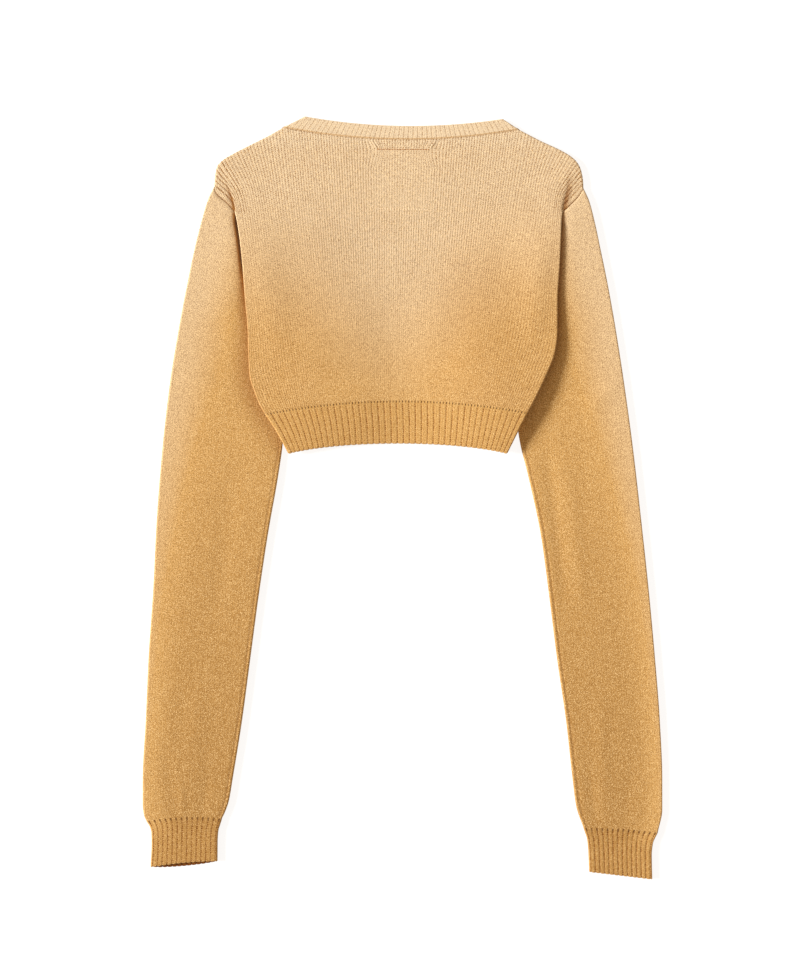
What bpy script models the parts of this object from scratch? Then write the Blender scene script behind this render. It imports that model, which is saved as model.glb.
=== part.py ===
"""Cropped knit sweater, laid flat with its back up.

World axes: +X to the right, +Y towards the neck, +Z up from the surface it lies on.
The origin is the middle of the whole sweater's outline, on that surface.
Every size below is in millimetres; the meshes are written in metres.
"""
from collections import namedtuple
import math

import bmesh
import bpy
from mathutils import Vector

MM = 0.001

# Fabric
WALL = 2.0                 # thickness of one layer of knit
LAYER_GAP = 1.5            # air between two layers that lie on each other
LAID = 2 * WALL + LAYER_GAP    # height of a tube of knit that is pressed flat
SEAM = 0.3                 # kept between pieces that are linked together
NECK_SEAM_SHARE = 1.4      # the neckband keeps this much of SEAM, for the turn at its ends
EDGE_ROLL = 3.2            # radius of a folded edge, such as a shoulder or a side
SHARP_ANGLE = 50.0         # degrees, above which an edge is shaded sharp

# Body where it lies over the sleeves
COVER_RAMP = 40.0          # length over which the body comes down off a sleeve
LIFT_FROM = 340.0          # y at which the shoulders begin to rise onto the folds
LIFT_RUN = 20.0            # length over which they do
PLEAT_FROM = 302.0         # y above which the side is a pleat with a step down to the armhole
PLEAT_TO = 290.0           # y below which it is the folded edge of the whole body
STEP_RUN = 5.0             # run of the pleat's step
STEP_LEAD = 1.0            # how far outside the crease the step begins
PLEAT_CLEAR = 0.9          # extra air under the back's edge where the pleat meets the side
PLEAT_CLEAR_SPAN = (286.0, 320.0)      # the y between which that air is given
PLEAT_CLEAR_RUN = 8.0      # length over which it comes and goes

# Body
NECK_DIP = 11.5            # how far the back neck seam hangs below its ends
FRONT_NECK_DROP = 62.0     # depth of the front neckline
FRONT_BAND_DROP = 60.0     # depth of the front neckband's upper edge
BAND_DIP = 9.0             # how far the back neckband's upper edge hangs below its ends
WAIST_ARCH = 13.3          # how far the waistband's seam rises above its ends
HEM_ARCH = 11.0            # how far the hem rises above its corners

# Ribs of the waistband, neckband and cuffs: one knit, one purl
RIB_RAISE = 0.8
WAIST_RIBS = 42
NECK_RIBS = 46
CUFF_RIBS = 15
CUFF_LIP = 3.6             # how much further the left cuff's lower layer reaches

# Yarn colours, linear
OCHRE = (0.62, 0.36, 0.12)
OCHRE_RIB = (0.56, 0.30, 0.10)
YARN_ROUGHNESS = 0.92

# One row for each section across the body, from the armholes down to the waistband's seam.
# y, edge: a point of the outline. fold: where the pleat's crease runs on that section.
# back_rise, front_rise: how far the sleeve and the folds beneath lift each panel there.
# spare: extra air between the panels. reach: how far in from the edge the lift goes on.
Section = namedtuple("Section", "y edge fold back_rise front_rise spare reach")

LEFT_BODY = [
    Section(326.0, -197.4, -183.4, 0.3, 0.0, 0.0, 4),
    Section(318.8, -195.6, -180.2, 0.9, 0.0, 0.0, 4),
    Section(313.8, -190.8, -178.4, 1.3, 0.0, 0.0, 4),
    Section(308.4, -184.2, -176.9, 1.8, 0.0, 0.0, 5),
    Section(302.4, -179.0, -175.6, 2.3, 0.4, 0.0, 5),
    Section(299.0, -176.2, -176.2, 2.6, 1.0, 0.0, 6),
    Section(292.0, -174.0, -174.0, 4.2, 3.4, 0.0, 7),
    Section(282.0, -172.2, -172.2, 6.0, 5.6, 0.0, 9),
    Section(268.0, -170.2, -170.2, 6.8, 6.7, 0.1, 11),
    Section(244.0, -167.6, -167.6, 6.8, 6.8, 0.2, 15),
    Section(207.4, -164.9, -164.9, 6.8, 6.8, 0.3, 27),
    Section(173.3, -162.0, -162.0, 6.8, 6.8, 0.4, 50),
    Section(141.0, -161.0, -161.0, 6.9, 6.9, 0.5, 47),
    Section(126.0, -159.9, -159.9, 7.0, 7.0, 0.6, 45),
    Section(110.8, -155.2, -155.2, 7.0, 7.0, 0.7, 40),
    Section(98.0, -150.2, -150.2, 7.0, 7.0, 0.7, 33),
    Section(87.7, -144.4, -144.4, 7.0, 7.0, 0.7, 27),
]
RIGHT_BODY = [
    Section(323.9, 189.9, 171.7, 0.6, 0.0, 0.0, 4),
    Section(318.0, 186.2, 170.0, 1.1, 0.0, 0.0, 4),
    Section(313.0, 182.3, 168.9, 1.4, 0.0, 0.0, 4),
    Section(306.4, 175.9, 168.0, 1.9, 0.0, 0.0, 5),
    Section(302.0, 171.7, 167.6, 2.3, 0.4, 0.0, 5),
    Section(298.7, 168.2, 168.2, 2.6, 1.0, 0.0, 6),
    Section(291.4, 166.9, 166.9, 4.2, 3.4, 0.0, 7),
    Section(282.0, 166.4, 166.4, 6.0, 5.6, 0.0, 9),
    Section(268.0, 165.8, 165.8, 6.9, 6.8, 0.1, 11),
    Section(244.0, 164.6, 164.6, 7.0, 7.0, 0.2, 15),
    Section(207.4, 162.4, 162.4, 7.2, 7.2, 0.3, 31),
    Section(173.3, 162.2, 162.2, 7.4, 7.4, 0.4, 57),
    Section(152.0, 159.6, 159.6, 7.8, 7.8, 0.8, 53),
    Section(132.0, 152.2, 152.2, 8.1, 8.1, 1.3, 44),
    Section(114.0, 144.0, 144.0, 8.4, 8.4, 1.7, 33),
    Section(100.0, 137.0, 137.0, 8.4, 8.4, 1.9, 25),
    Section(89.1, 131.3, 131.3, 8.4, 8.4, 2.0, 19),
]
# The waistband's sections, from its seam to the hem.
LEFT_WAIST = [
    LEFT_BODY[-1],
    Section(67.7, -131.3, -131.3, 6.8, 6.8, 0.6, 12),
    Section(46.2, -119.7, -119.7, 5.4, 5.4, 0.4, 6),
]
RIGHT_WAIST = [
    RIGHT_BODY[-1],
    Section(69.0, 121.0, 121.0, 8.1, 8.1, 1.7, 8),
    Section(46.2, 109.7, 109.7, 6.8, 6.8, 1.2, 5),
]
SHOULDER_CORNER = 5        # the last armhole section: below it the side is a folded edge

# Shoulder outlines, from the top of the armhole to the neck.
Point = namedtuple("Point", "x y")
LEFT_SHOULDER = [
    Point(-197.4, 326.0), Point(-196.9, 335.0), Point(-194.8, 346.6), Point(-188.5, 353.9),
    Point(-175.9, 361.4), Point(-140.2, 379.6), Point(-125.5, 388.0),
]
RIGHT_SHOULDER = [
    Point(189.9, 323.9), Point(189.4, 333.0), Point(187.6, 342.6), Point(184.0, 350.6),
    Point(176.0, 358.4), Point(142.3, 375.4), Point(122.3, 385.9),
]
# Upper corners of the neckband, where it folds over to the front.
LEFT_BAND_TOP = Point(-103.4, 399.3)
RIGHT_BAND_TOP = Point(106.0, 396.6)

# One row for each ring round a sleeve, from the armhole to the cuff. bow: how much of the
# armhole's curve the ring still has. arch: how far its middle lies above its ends.
Ring = namedtuple("Ring", "outer_x outer_y inner_x inner_y bow arch", defaults=(0.0, 0.0))
LEFT_SLEEVE = [
    Ring(-197.7, 325.8, -116.0, 170.6, 1.00),
    Ring(-204.2, 312.0, -117.0, 160.0, 0.80),
    Ring(-211.0, 289.3, -118.6, 146.5, 0.58),
    Ring(-217.9, 262.0, -120.2, 129.7, 0.36),
    Ring(-225.8, 224.2, -121.8, 110.8, 0.16),
    Ring(-234.2, 180.1, -123.4, 87.7),
    Ring(-244.1, 119.2, -125.5, 57.2),
    Ring(-252.0, 49.9, -130.7, 20.5),
    Ring(-257.8, -23.6, -140.7, -36.2),
    Ring(-261.5, -97.1, -150.7, -102.4),
    Ring(-266.2, -165.4, -159.1, -165.4),
    Ring(-269.3, -233.6, -168.5, -235.7),
    Ring(-272.5, -296.6, -178.0, -294.5),
    Ring(-272.5, -320.8, -182.2, -318.7, arch=1.0),
    Ring(-268.5, -339.0, -189.3, -336.5, arch=3.0),
]
RIGHT_SLEEVE = [
    Ring(190.2, 323.7, 110.8, 170.6, 1.00),
    Ring(195.8, 311.3, 111.8, 160.0, 0.80),
    Ring(202.1, 287.2, 113.4, 146.5, 0.58),
    Ring(207.9, 259.9, 115.0, 129.7, 0.36),
    Ring(215.2, 224.2, 116.6, 110.8, 0.16),
    Ring(223.1, 180.1, 118.7, 89.8),
    Ring(232.6, 119.2, 122.9, 59.3),
    Ring(242.0, 49.9, 131.8, 22.6),
    Ring(250.4, -23.6, 144.9, -38.3),
    Ring(258.3, -97.1, 153.8, -103.4),
    Ring(264.6, -165.4, 161.7, -166.4),
    Ring(269.9, -233.6, 171.7, -235.7),
    Ring(272.5, -296.6, 178.5, -296.6),
    Ring(272.5, -327.0, 182.2, -323.9, arch=0.5),
    Ring(267.8, -351.0, 189.8, -346.2, arch=1.5),
]
# Armhole seams on the sleeve's side: the part that shows, then the part under the body.
LEFT_ARMHOLE = [
    Point(-197.8, 325.7), Point(-196.1, 318.5), Point(-191.2, 313.3), Point(-184.6, 308.0),
    Point(-179.5, 302.0), Point(-176.8, 299.2), Point(-174.6, 291.8), Point(-172.8, 281.8),
    Point(-169.4, 270.0), Point(-151.0, 219.0), Point(-116.0, 170.6),
]
RIGHT_ARMHOLE = [
    Point(190.3, 323.6), Point(186.6, 317.6), Point(182.7, 312.5), Point(176.3, 305.9),
    Point(172.1, 301.5), Point(168.7, 298.3), Point(167.5, 291.2), Point(167.0, 281.8),
    Point(164.4, 270.0), Point(147.0, 219.0), Point(110.8, 170.6),
]
# Rings of the cuffs down to the wrist; the first one follows from the sleeve's last ring.
LEFT_CUFF = [
    Ring(-263.8, -360.0, -192.9, -357.5, arch=2.0),
    Ring(-264.1, -386.6, -193.9, -380.2, arch=1.5),
]
RIGHT_CUFF = [
    Ring(262.8, -374.0, 194.8, -368.5, arch=0.5),
    Ring(262.2, -399.5, 196.0, -391.8),
]
CUFF_TAKE_IN = 4.2         # how far a cuff draws in from the sleeve's end on each side

# Columns across a panel, as distances from a side when the panel is COLUMN_SPAN wide.
COLUMN_SPAN = 330.0
SIDE_COLUMNS = (0.0, 1.0, 3.2, 7.0, 13.0, 21.0, 31.0, 43.0, 57.0, 73.0, 74.0, 76.2, 92.0, 114.0, 138.0, 165.0)
FRONT_COLUMNS = (0.0, 3.2, 7.0, 13.0, 21.0, 31.0, 43.0, 57.0, 73.0, 88.0, 103.0, 118.0, 133.0, 149.0, 165.0)
NECK_COLUMN = 73.0 / COLUMN_SPAN       # the column that ends where a shoulder meets the neck
TOP_ROWS = (1.0, 3.2)      # extra rows close under the shoulders
RIB_COLUMNS = ((0.0, 0.0), (0.24, 0.8), (0.5, 1.0), (0.76, 0.8))   # (place, height) over one rib
TUBE_INSET = (0.0, 0.13, 0.45, 1.0)    # places of the points that round a tube's edge, in radii
TUBE_BLEND = 6.0           # how far from a tube's edge its inner layer draws back
TUBE_ACROSS = (0.25, 0.5, 0.75)        # further points across a plain tube's flat


def mix(low, high, part):
    return low + (high - low) * part


def smooth(part):
    part = min(max(part, 0.0), 1.0)
    return part * part * (3 - 2 * part)


def mix_rows(first, second, part):
    """A table row between two rows."""
    return type(first)(*(mix(a, b, part) for a, b in zip(first, second)))


def section_at(table, y):
    """The section of a body table at height y."""
    if y >= table[0].y:
        return table[0]
    for upper, lower in zip(table, table[1:]):
        if y >= lower.y:
            return mix_rows(upper, lower, (upper.y - y) / (upper.y - lower.y))
    return table[-1]


def along(path, part):
    """The point a given part of the way along a path, by length."""
    lengths = [math.dist(a[:2], b[:2]) for a, b in zip(path, path[1:])]
    left = part * sum(lengths)
    for start, end, length in zip(path, path[1:], lengths):
        if left <= length:
            return Point(*(mix(a, b, left / length) for a, b in zip(start[:2], end[:2])))
        left -= length
    return Point(*path[-1][:2])


def outline_paths():
    """The folded edges of the body, each run clockwise as seen from above."""
    left_side = [Point(s.edge, s.y) for s in LEFT_BODY[SHOULDER_CORNER:] + LEFT_WAIST[1:]]
    right_side = [Point(s.edge, s.y) for s in RIGHT_BODY[SHOULDER_CORNER:] + RIGHT_WAIST[1:]]
    left_shoulder = LEFT_SHOULDER + [LEFT_BAND_TOP]
    right_shoulder = [RIGHT_BAND_TOP] + RIGHT_SHOULDER[::-1]
    return [left_side[::-1], left_shoulder, right_shoulder, right_side]


def nearest_edge(x, y, paths):
    """Distance to the nearest folded edge, and the direction out of the body there."""
    best = (math.inf, 0.0, 1.0)
    for path in paths:
        for start, end in zip(path, path[1:]):
            run_x = end.x - start.x
            run_y = end.y - start.y
            length = math.hypot(run_x, run_y)
            part = ((x - start.x) * run_x + (y - start.y) * run_y) / length ** 2
            part = min(max(part, 0.0), 1.0)
            distance = math.hypot(x - start.x - part * run_x, y - start.y - part * run_y)
            if distance < best[0] - 1e-9:
                best = (distance, -run_y / length, run_x / length)
    return best


def lift(x, y, left_table, right_table, on_back):
    """How far the sleeves and folds beneath lift a panel, and the spare air that goes with it."""
    total = 0.0
    spare = 0.0
    for table, side in ((left_table, 1), (right_table, -1)):
        section = section_at(table, y)
        inward = (x - section.fold) * side
        cover = 1 - smooth((inward - section.reach) / COVER_RAMP)
        pleated = smooth((y - PLEAT_TO) / (PLEAT_FROM - PLEAT_TO))
        step = mix(1.0, smooth((inward + STEP_LEAD) / STEP_RUN), pleated)
        rise = section.back_rise if on_back else section.front_rise
        total += rise * cover * step * smooth((LIFT_FROM - y) / LIFT_RUN)
        spare += section.spare * cover
    return total, spare


class Body:
    """Heights of the two layers of the body above the surface, at any place."""

    def __init__(self):
        self.paths = outline_paths()
        self.left = LEFT_BODY + LEFT_WAIST[1:]
        self.right = RIGHT_BODY + RIGHT_WAIST[1:]

    def front(self, x, y, _raised=0.0):
        """Outer and inner points of the front layer, which faces down and has no ribs there."""
        rise, _spare = lift(x, y, self.left, self.right, on_back=False)
        return Vector((x, y, rise)), Vector((x, y, rise + WALL))

    def back(self, x, y, raised=0.0):
        """Outer and inner points of the back layer, which rolls down at the folded edges."""
        rise, spare = lift(x, y, self.left, self.right, on_back=True)
        top = LAID + rise + spare
        low, high = PLEAT_CLEAR_SPAN
        clear = PLEAT_CLEAR * smooth((y - low) / PLEAT_CLEAR_RUN) * smooth((high - y) / PLEAT_CLEAR_RUN)
        rim = self.front(x, y)[1].z + SEAM + clear
        distance, out_x, out_y = nearest_edge(x, y, self.paths)
        lean = max(0.0, 1 - distance / EDGE_ROLL)
        upright = math.sqrt(1 - lean ** 2)
        outer = Vector((x, y, mix(rim, top, upright)))
        skin = Vector((out_x * lean, out_y * lean, upright))
        inner = outer - skin * WALL
        return outer + skin * raised, inner


def wall(name, rows, ring=False):
    """A closed wall from rows of (outer, inner) points; a ring's rows close on themselves."""
    shape = bmesh.new()
    grid = [[[shape.verts.new(point * MM) for point in pair] for pair in row] for row in rows]
    spans = [(n, n + 1) for n in range(len(rows[0]) - 1)]
    if ring:
        spans.append((len(rows[0]) - 1, 0))
    for upper, lower in zip(grid, grid[1:]):
        for near, far in spans:
            for layer in (0, 1):
                corners = upper[near], upper[far], lower[far], lower[near]
                shape.faces.new([corner[layer] for corner in corners])
    for row in (grid[0], grid[-1]):
        for near, far in spans:
            shape.faces.new((*row[near], *row[far][::-1]))
    if not ring:
        for column in (0, -1):
            for upper, lower in zip(grid, grid[1:]):
                shape.faces.new((*upper[column], *lower[column][::-1]))
    return finish(name, shape)


def finish(name, shape):
    """Make the object, with its faces turned outwards and shaded smooth."""
    bmesh.ops.recalc_face_normals(shape, faces=shape.faces)
    mesh = bpy.data.meshes.new(name)
    shape.to_mesh(mesh)
    shape.free()
    mesh.shade_smooth()
    mesh.set_sharp_from_angle(angle=math.radians(SHARP_ANGLE))
    thing = bpy.data.objects.new(name, mesh)
    bpy.context.scene.collection.objects.link(thing)
    return thing


def columns_from(distances):
    """Column places from 0 to 1, the same from both sides."""
    near = [d / COLUMN_SPAN for d in distances]
    return near + [1 - c for c in reversed(near[:-1])]


def rib_columns(count):
    """Column places and heights of a row of ribs that starts and ends in a groove."""
    places = []
    for rib in range(count):
        places += [((rib + place) / count, height * RIB_RAISE) for place, height in RIB_COLUMNS]
    return places + [(1.0, 0.0)]


def arch(part, left, right, rise):
    """A point on a shallow arch between two points; a negative rise makes it hang."""
    across = 2 * part - 1
    return Point(mix(left[0], right[0], part), mix(left[1], right[1], part) + rise * (1 - across ** 2))


def scoop(part, left, right, drop):
    """A point on the front neckline, half an ellipse between two points."""
    angle = math.pi * part
    level = mix(left[1], right[1], part)
    middle = (left[0] + right[0]) / 2
    half = (right[0] - left[0]) / 2
    return Point(middle - half * math.cos(angle), level - drop * math.sin(angle))


def panel_rows(table_left, table_right):
    """The ends of each row of a panel: the table's sections and a few more under the shoulder."""
    ends = [(Point(a.edge, a.y), Point(b.edge, b.y)) for a, b in zip(table_left, table_right)]
    first = math.dist(ends[0][0], ends[1][0])
    extra = [tuple(mix_rows(a, b, d / first) for a, b in zip(ends[0], ends[1])) for d in TOP_ROWS]
    return ends[:1] + extra + ends[1:]


def top_edge(part, neck):
    """A point of a panel's upper edge: shoulder, neck seam, shoulder."""
    if part < NECK_COLUMN:
        return along(LEFT_SHOULDER, part / NECK_COLUMN)
    if part > 1 - NECK_COLUMN:
        return along(RIGHT_SHOULDER, (1 - part) / NECK_COLUMN)
    return neck((part - NECK_COLUMN) / (1 - 2 * NECK_COLUMN))


def beside_seam(layer, curve, places, part, raised, away):
    """Outer and inner points that follow a panel's edge, straight between its columns.

    They stand SEAM away from it, up or down the panel, and carry a rib's height.
    """
    for low, high in zip(places, places[1:]):
        if part <= high:
            share = (part - low) / (high - low)
            pair = [mix(a, b, share) for a, b in zip(layer(*curve(low)), layer(*curve(high)))]
            break
    outer, inner = (p + Vector((0.0, away * SEAM, 0.0)) for p in pair)
    return outer + (outer - inner).normalized() * raised, inner


def neck_places(distances):
    """The columns of a panel that end at the neck, as parts of the neck seam."""
    span = 1 - 2 * NECK_COLUMN
    inner = [(c - NECK_COLUMN) / span for c in columns_from(distances)]
    return [0.0] + [c for c in inner if 1e-6 < c < 1 - 1e-6] + [1.0]


def waist_seam(part):
    left = LEFT_BODY[-1]
    right = RIGHT_BODY[-1]
    return arch(part, (left.edge, left.y), (right.edge, right.y), WAIST_ARCH)


def back_neck(part):
    return arch(part, LEFT_SHOULDER[-1], RIGHT_SHOULDER[-1], -NECK_DIP)


def front_neck(part):
    return scoop(part, LEFT_SHOULDER[-1], RIGHT_SHOULDER[-1], FRONT_NECK_DROP)


def side_share(part):
    """How much of a side edge's own shape a column takes: all at the side, none at the neck."""
    return 1 - smooth(part / NECK_COLUMN)


def panel_grid(neck, distances):
    """Places of a panel's points: its four edges blended into one patch."""
    ends = panel_rows(LEFT_BODY, RIGHT_BODY)
    steps = [0.0]
    for (upper, _), (lower, _) in zip(ends, ends[1:]):
        steps.append(steps[-1] + math.dist(upper, lower))
    columns = columns_from(distances)
    grid = []
    for (left, right), step in zip(ends, steps):
        down = step / steps[-1]
        row = []
        for part in columns:
            top = top_edge(part, neck)
            low = waist_seam(part)
            place = []
            for axis in (0, 1):
                bend_left = left[axis] - mix(ends[0][0][axis], ends[-1][0][axis], down)
                bend_right = right[axis] - mix(ends[0][1][axis], ends[-1][1][axis], down)
                bend = bend_left * side_share(part) + bend_right * side_share(1 - part)
                place.append(mix(top[axis], low[axis], down) + bend)
            row.append(Point(*place))
        grid.append(row)
    return grid


def make_back_panel(body):
    rows = panel_grid(back_neck, SIDE_COLUMNS)
    return wall("back_panel", [[body.back(*place) for place in row] for row in rows])


def make_front_panel(body):
    rows = panel_grid(front_neck, FRONT_COLUMNS)
    return wall("front_panel", [[body.front(*place) for place in row] for row in rows])


def waistband_place(part, down):
    """A point of the waistband below its seam."""
    left = along([Point(s.edge, s.y) for s in LEFT_WAIST], down)
    right = along([Point(s.edge, s.y) for s in RIGHT_WAIST], down)
    return arch(part, left, right, mix(WAIST_ARCH, HEM_ARCH, down))


def make_waistband(name, layer, columns, distances):
    places = columns_from(distances)
    rows = [[beside_seam(layer, waist_seam, places, part, raised, -1) for part, raised in columns]]
    for down in (0.5, 1.0):
        rows.append([layer(*waistband_place(part, down), raised) for part, raised in columns])
    return wall(name, rows)


def make_back_neckband(body):
    places = neck_places(SIDE_COLUMNS)
    columns = rib_columns(NECK_RIBS)
    seam = []
    edge = []
    for part, raised in columns:
        seam.append(beside_seam(body.back, back_neck, places, part, raised, NECK_SEAM_SHARE))
        edge.append(body.back(*arch(part, LEFT_BAND_TOP, RIGHT_BAND_TOP, -BAND_DIP), raised))
    return wall("back_neckband", [seam, edge])


def make_front_neckband(body):
    seam = []
    edge = []
    for part in neck_places(FRONT_COLUMNS):
        low = Vector(front_neck(part))
        high = Vector(scoop(part, LEFT_BAND_TOP, RIGHT_BAND_TOP, FRONT_BAND_DROP))
        seam.append(body.front(*(low + (high - low).normalized() * SEAM)))
        edge.append(body.front(*high))
    return wall("front_neckband", [seam, edge])


def path_places(path):
    """Where the inner points of a path lie along it, as parts of its length."""
    lengths = [math.dist(a, b) for a, b in zip(path, path[1:])]
    return [sum(lengths[:n]) / sum(lengths) for n in range(1, len(lengths))]


def tube_places(width, flat):
    """Places across one layer of a flat tube, from edge to edge."""
    near = [inset * LAID / 2 / width for inset in TUBE_INSET]
    flat = [part for part in flat if near[-1] < part < 1 - near[-1]]
    return near + flat + [1 - p for p in reversed(near)]


def armhole_bow(armhole, reach):
    """How far an armhole's seam lies from the straight line between its ends."""
    straight = Vector(armhole[0]).lerp(Vector(armhole[-1]), reach)
    return Vector(along(armhole, reach)) - straight


def tube_point(ring, armhole, part, side, inset):
    """A point of a flat tube's skin: side is 1 above and -1 below, inset its depth in the wall."""
    start = Vector((ring.outer_x, ring.outer_y))
    end = Vector((ring.inner_x, ring.inner_y))
    width = (end - start).length
    edge = min(part, 1 - part) * width
    if edge < TUBE_BLEND:
        edge = mix(inset, TUBE_BLEND, edge / TUBE_BLEND)
    reach = edge / width if part < 0.5 else 1 - edge / width
    place = start.lerp(end, reach)
    place.y += ring.arch * (1 - (2 * reach - 1) ** 2)
    if armhole:
        place += armhole_bow(armhole, reach) * ring.bow
    radius = LAID / 2 - inset
    lean = max(0.0, 1 - (edge - inset) / radius)
    return Vector((*place, LAID / 2 + side * radius * math.sqrt(1 - lean ** 2)))


def tube_row(ring, armhole, ribs, lip):
    """Pairs of points round a flat tube: over the top with its ribs, then back underneath."""
    width = math.hypot(ring.inner_x - ring.outer_x, ring.inner_y - ring.outer_y)
    plain = tube_places(width, path_places(armhole) if armhole else TUBE_ACROSS)
    above = rib_columns(ribs) if ribs else [(part, 0.0) for part in plain]
    run = [(part, 1, Vector((0.0, 0.0, raised)), Vector()) for part, raised in above]
    run += [(part, -1, Vector(), Vector((0.0, -lip, 0.0))) for part in reversed(plain[1:-1])]
    return [(tube_point(ring, armhole, part, side, 0.0) + raised + longer,
             tube_point(ring, armhole, part, side, WALL) + longer) for part, side, raised, longer in run]


def cuff_rings(sleeve, cuff):
    """A cuff's rings, the first of them SEAM below the sleeve's end and drawn in."""
    end = sleeve[-1]
    width = math.hypot(end.inner_x - end.outer_x, end.inner_y - end.outer_y)
    share = CUFF_TAKE_IN / width
    start = Ring(mix(end.outer_x, end.inner_x, share), mix(end.outer_y, end.inner_y, share) - SEAM,
                 mix(end.inner_x, end.outer_x, share), mix(end.inner_y, end.outer_y, share) - SEAM,
                 arch=end.arch * (1 - 2 * share))
    return [start] + cuff


def make_tube(name, rings, armhole=None, ribs=0, lip=0.0):
    """A sleeve or cuff pressed flat on the surface; lip lengthens its lower layer at the wrist."""
    rows = [tube_row(ring, armhole, ribs, 0.0) for ring in rings[:-1]]
    rows.append(tube_row(rings[-1], armhole, ribs, lip))
    return wall(name, rows, ring=True)


def make_yarn(name, colour):
    material = bpy.data.materials.new(name)
    material.use_nodes = True
    shader = material.node_tree.nodes["Principled BSDF"]
    shader.inputs["Base Color"].default_value = (*colour, 1.0)
    shader.inputs["Roughness"].default_value = YARN_ROUGHNESS
    shader.inputs["Metallic"].default_value = 0.0
    return material


def clear_scene():
    for thing in list(bpy.data.objects):
        bpy.data.objects.remove(thing, do_unlink=True)


def main():
    clear_scene()
    body = Body()
    plain = [(part, 0.0) for part in columns_from(FRONT_COLUMNS)]
    panels = [
        make_back_panel(body),
        make_front_panel(body),
        make_tube("left_sleeve", LEFT_SLEEVE, LEFT_ARMHOLE),
        make_tube("right_sleeve", RIGHT_SLEEVE, RIGHT_ARMHOLE),
    ]
    bands = [
        make_waistband("back_waistband", body.back, rib_columns(WAIST_RIBS), SIDE_COLUMNS),
        make_waistband("front_waistband", body.front, plain, FRONT_COLUMNS),
        make_tube("left_cuff", cuff_rings(LEFT_SLEEVE, LEFT_CUFF), ribs=CUFF_RIBS, lip=CUFF_LIP),
        make_tube("right_cuff", cuff_rings(RIGHT_SLEEVE, RIGHT_CUFF), ribs=CUFF_RIBS),
        make_back_neckband(body),
        make_front_neckband(body),
    ]
    for piece in panels:
        piece.data.materials.append(make_yarn(piece.name + "_knit", OCHRE))
    for piece in bands:
        piece.data.materials.append(make_yarn(piece.name + "_rib", OCHRE_RIB))


main()
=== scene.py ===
"""Looks of a cropped knit sweater that lies flat with its back up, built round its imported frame.

World axes: +X to the right, +Y towards the neck, +Z up from the surface that it lies on.
Lengths are in millimetres until a mesh is made from them; the settings are in metres.
Each piece is one skin of knit, modelled on a grid whose columns run along the wales and whose
rows run along the courses, with its edges turned in.
"""
from collections import namedtuple
import math

import bmesh
import bpy
from bpy.props import FloatProperty, FloatVectorProperty, IntProperty, PointerProperty
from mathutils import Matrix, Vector
import numpy as np


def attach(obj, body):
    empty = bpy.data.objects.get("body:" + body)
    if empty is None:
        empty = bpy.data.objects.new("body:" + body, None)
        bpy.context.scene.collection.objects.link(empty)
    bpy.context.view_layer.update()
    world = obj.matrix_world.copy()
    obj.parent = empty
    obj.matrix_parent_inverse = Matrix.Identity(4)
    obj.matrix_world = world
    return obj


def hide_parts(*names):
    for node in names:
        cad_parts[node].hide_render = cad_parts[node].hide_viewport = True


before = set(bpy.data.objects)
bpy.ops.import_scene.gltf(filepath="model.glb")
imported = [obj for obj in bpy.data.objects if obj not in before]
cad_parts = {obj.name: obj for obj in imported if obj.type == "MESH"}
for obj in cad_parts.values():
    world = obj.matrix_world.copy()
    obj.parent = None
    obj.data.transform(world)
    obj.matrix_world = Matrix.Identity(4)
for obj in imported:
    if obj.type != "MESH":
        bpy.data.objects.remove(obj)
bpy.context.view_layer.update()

bl_info = {
    "name": "Cropped knit sweater",
    "version": (1, 0, 0),
    "blender": (4, 5, 0),
    "location": "View3D > Sidebar > Sweater",
    "description": "Builds a cropped sweater of dip-faded wool knit, laid flat on its front",
    "category": "Object",
}

BODY = "root"
MM = 0.001

# Fabric, as in the frame
WALL = 2.0                     # thickness of one layer of knit
LAYER_GAP = 1.5                # air between two layers that lie on each other
LAID = 2 * WALL + LAYER_GAP    # height of a tube of knit that is pressed flat
SEAM = 0.3                     # between pieces that are linked together
EDGE_ROLL = 1.0                # how far in from a folded edge the back layer rolls down
TUBE_ROLL = 0.55               # share of a half circle that a pressed tube's edge takes up
FRONT_ROLL = 1.9               # radius of the same edge where it turns under

# Body where it lies over the sleeves
COVER_RAMP = 40.0              # length over which the front layer comes down off a sleeve
BACK_RAMP = 140.0              # the same for the back layer, which is free to bridge the dip
BACK_PRESS = 0.4               # share of the lift that the back loses over the sleeves' upper part
LIFT_FROM = 340.0              # y at which the shoulders begin to rise onto the folds
LIFT_RUN = 20.0                # length over which they do
PLEAT_FROM = 302.0             # y above which the side is a pleat with a step to the armhole
PLEAT_TO = 290.0               # y below which it is the folded edge of the whole body
STEP_RUN = 3.2                 # run of the pleat's step
STEP_LEAD = 1.6                # how far outside the crease the step begins
SIDE_SINK = 1.6                # how far the folded sides sink onto the sleeves beside the armholes
SINK_Y = 274.0                 # y at which they sink most
SINK_HALF = 15.0               # half length of the stretch that sinks
FOLD_FADE = 0.25               # share of a soft fold's length over which it dies away past each end

# Wales and ribs on the body
PANEL_LENGTH = 292.0           # from the shoulders to the waistband's seam
WAISTBAND_LENGTH = 43.0
LEAD = 0.02                    # by how much of the length the wales at the armhole turn before its edge
LEAD_SHARE = 0.01              # share of the width over which that comes in
BROAD = 6                      # wales at each side of a panel that are broader than the rest
BROADER = 0.25                 # by this share of a wale
UPRIGHT = 0.7                  # how much of the waistband's narrowing its sides take up

# Body outline
NECK_DIP = 11.5                # how far the back neck seam hangs below its ends
FRONT_NECK_DROP = 62.0         # depth of the front neckline
FRONT_BAND_DROP = 60.0         # depth of the front neckband's upper edge
BAND_DIP = 9.0                 # how far the back neckband's upper edge hangs below its ends
WAIST_ARCH = 13.3              # how far the waistband's seam rises above its ends
HEM_ARCH = 11.0                # how far the hem rises above its corners
CUFF_LIP = 3.8                 # how much further the left cuff's lower layer reaches

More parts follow.
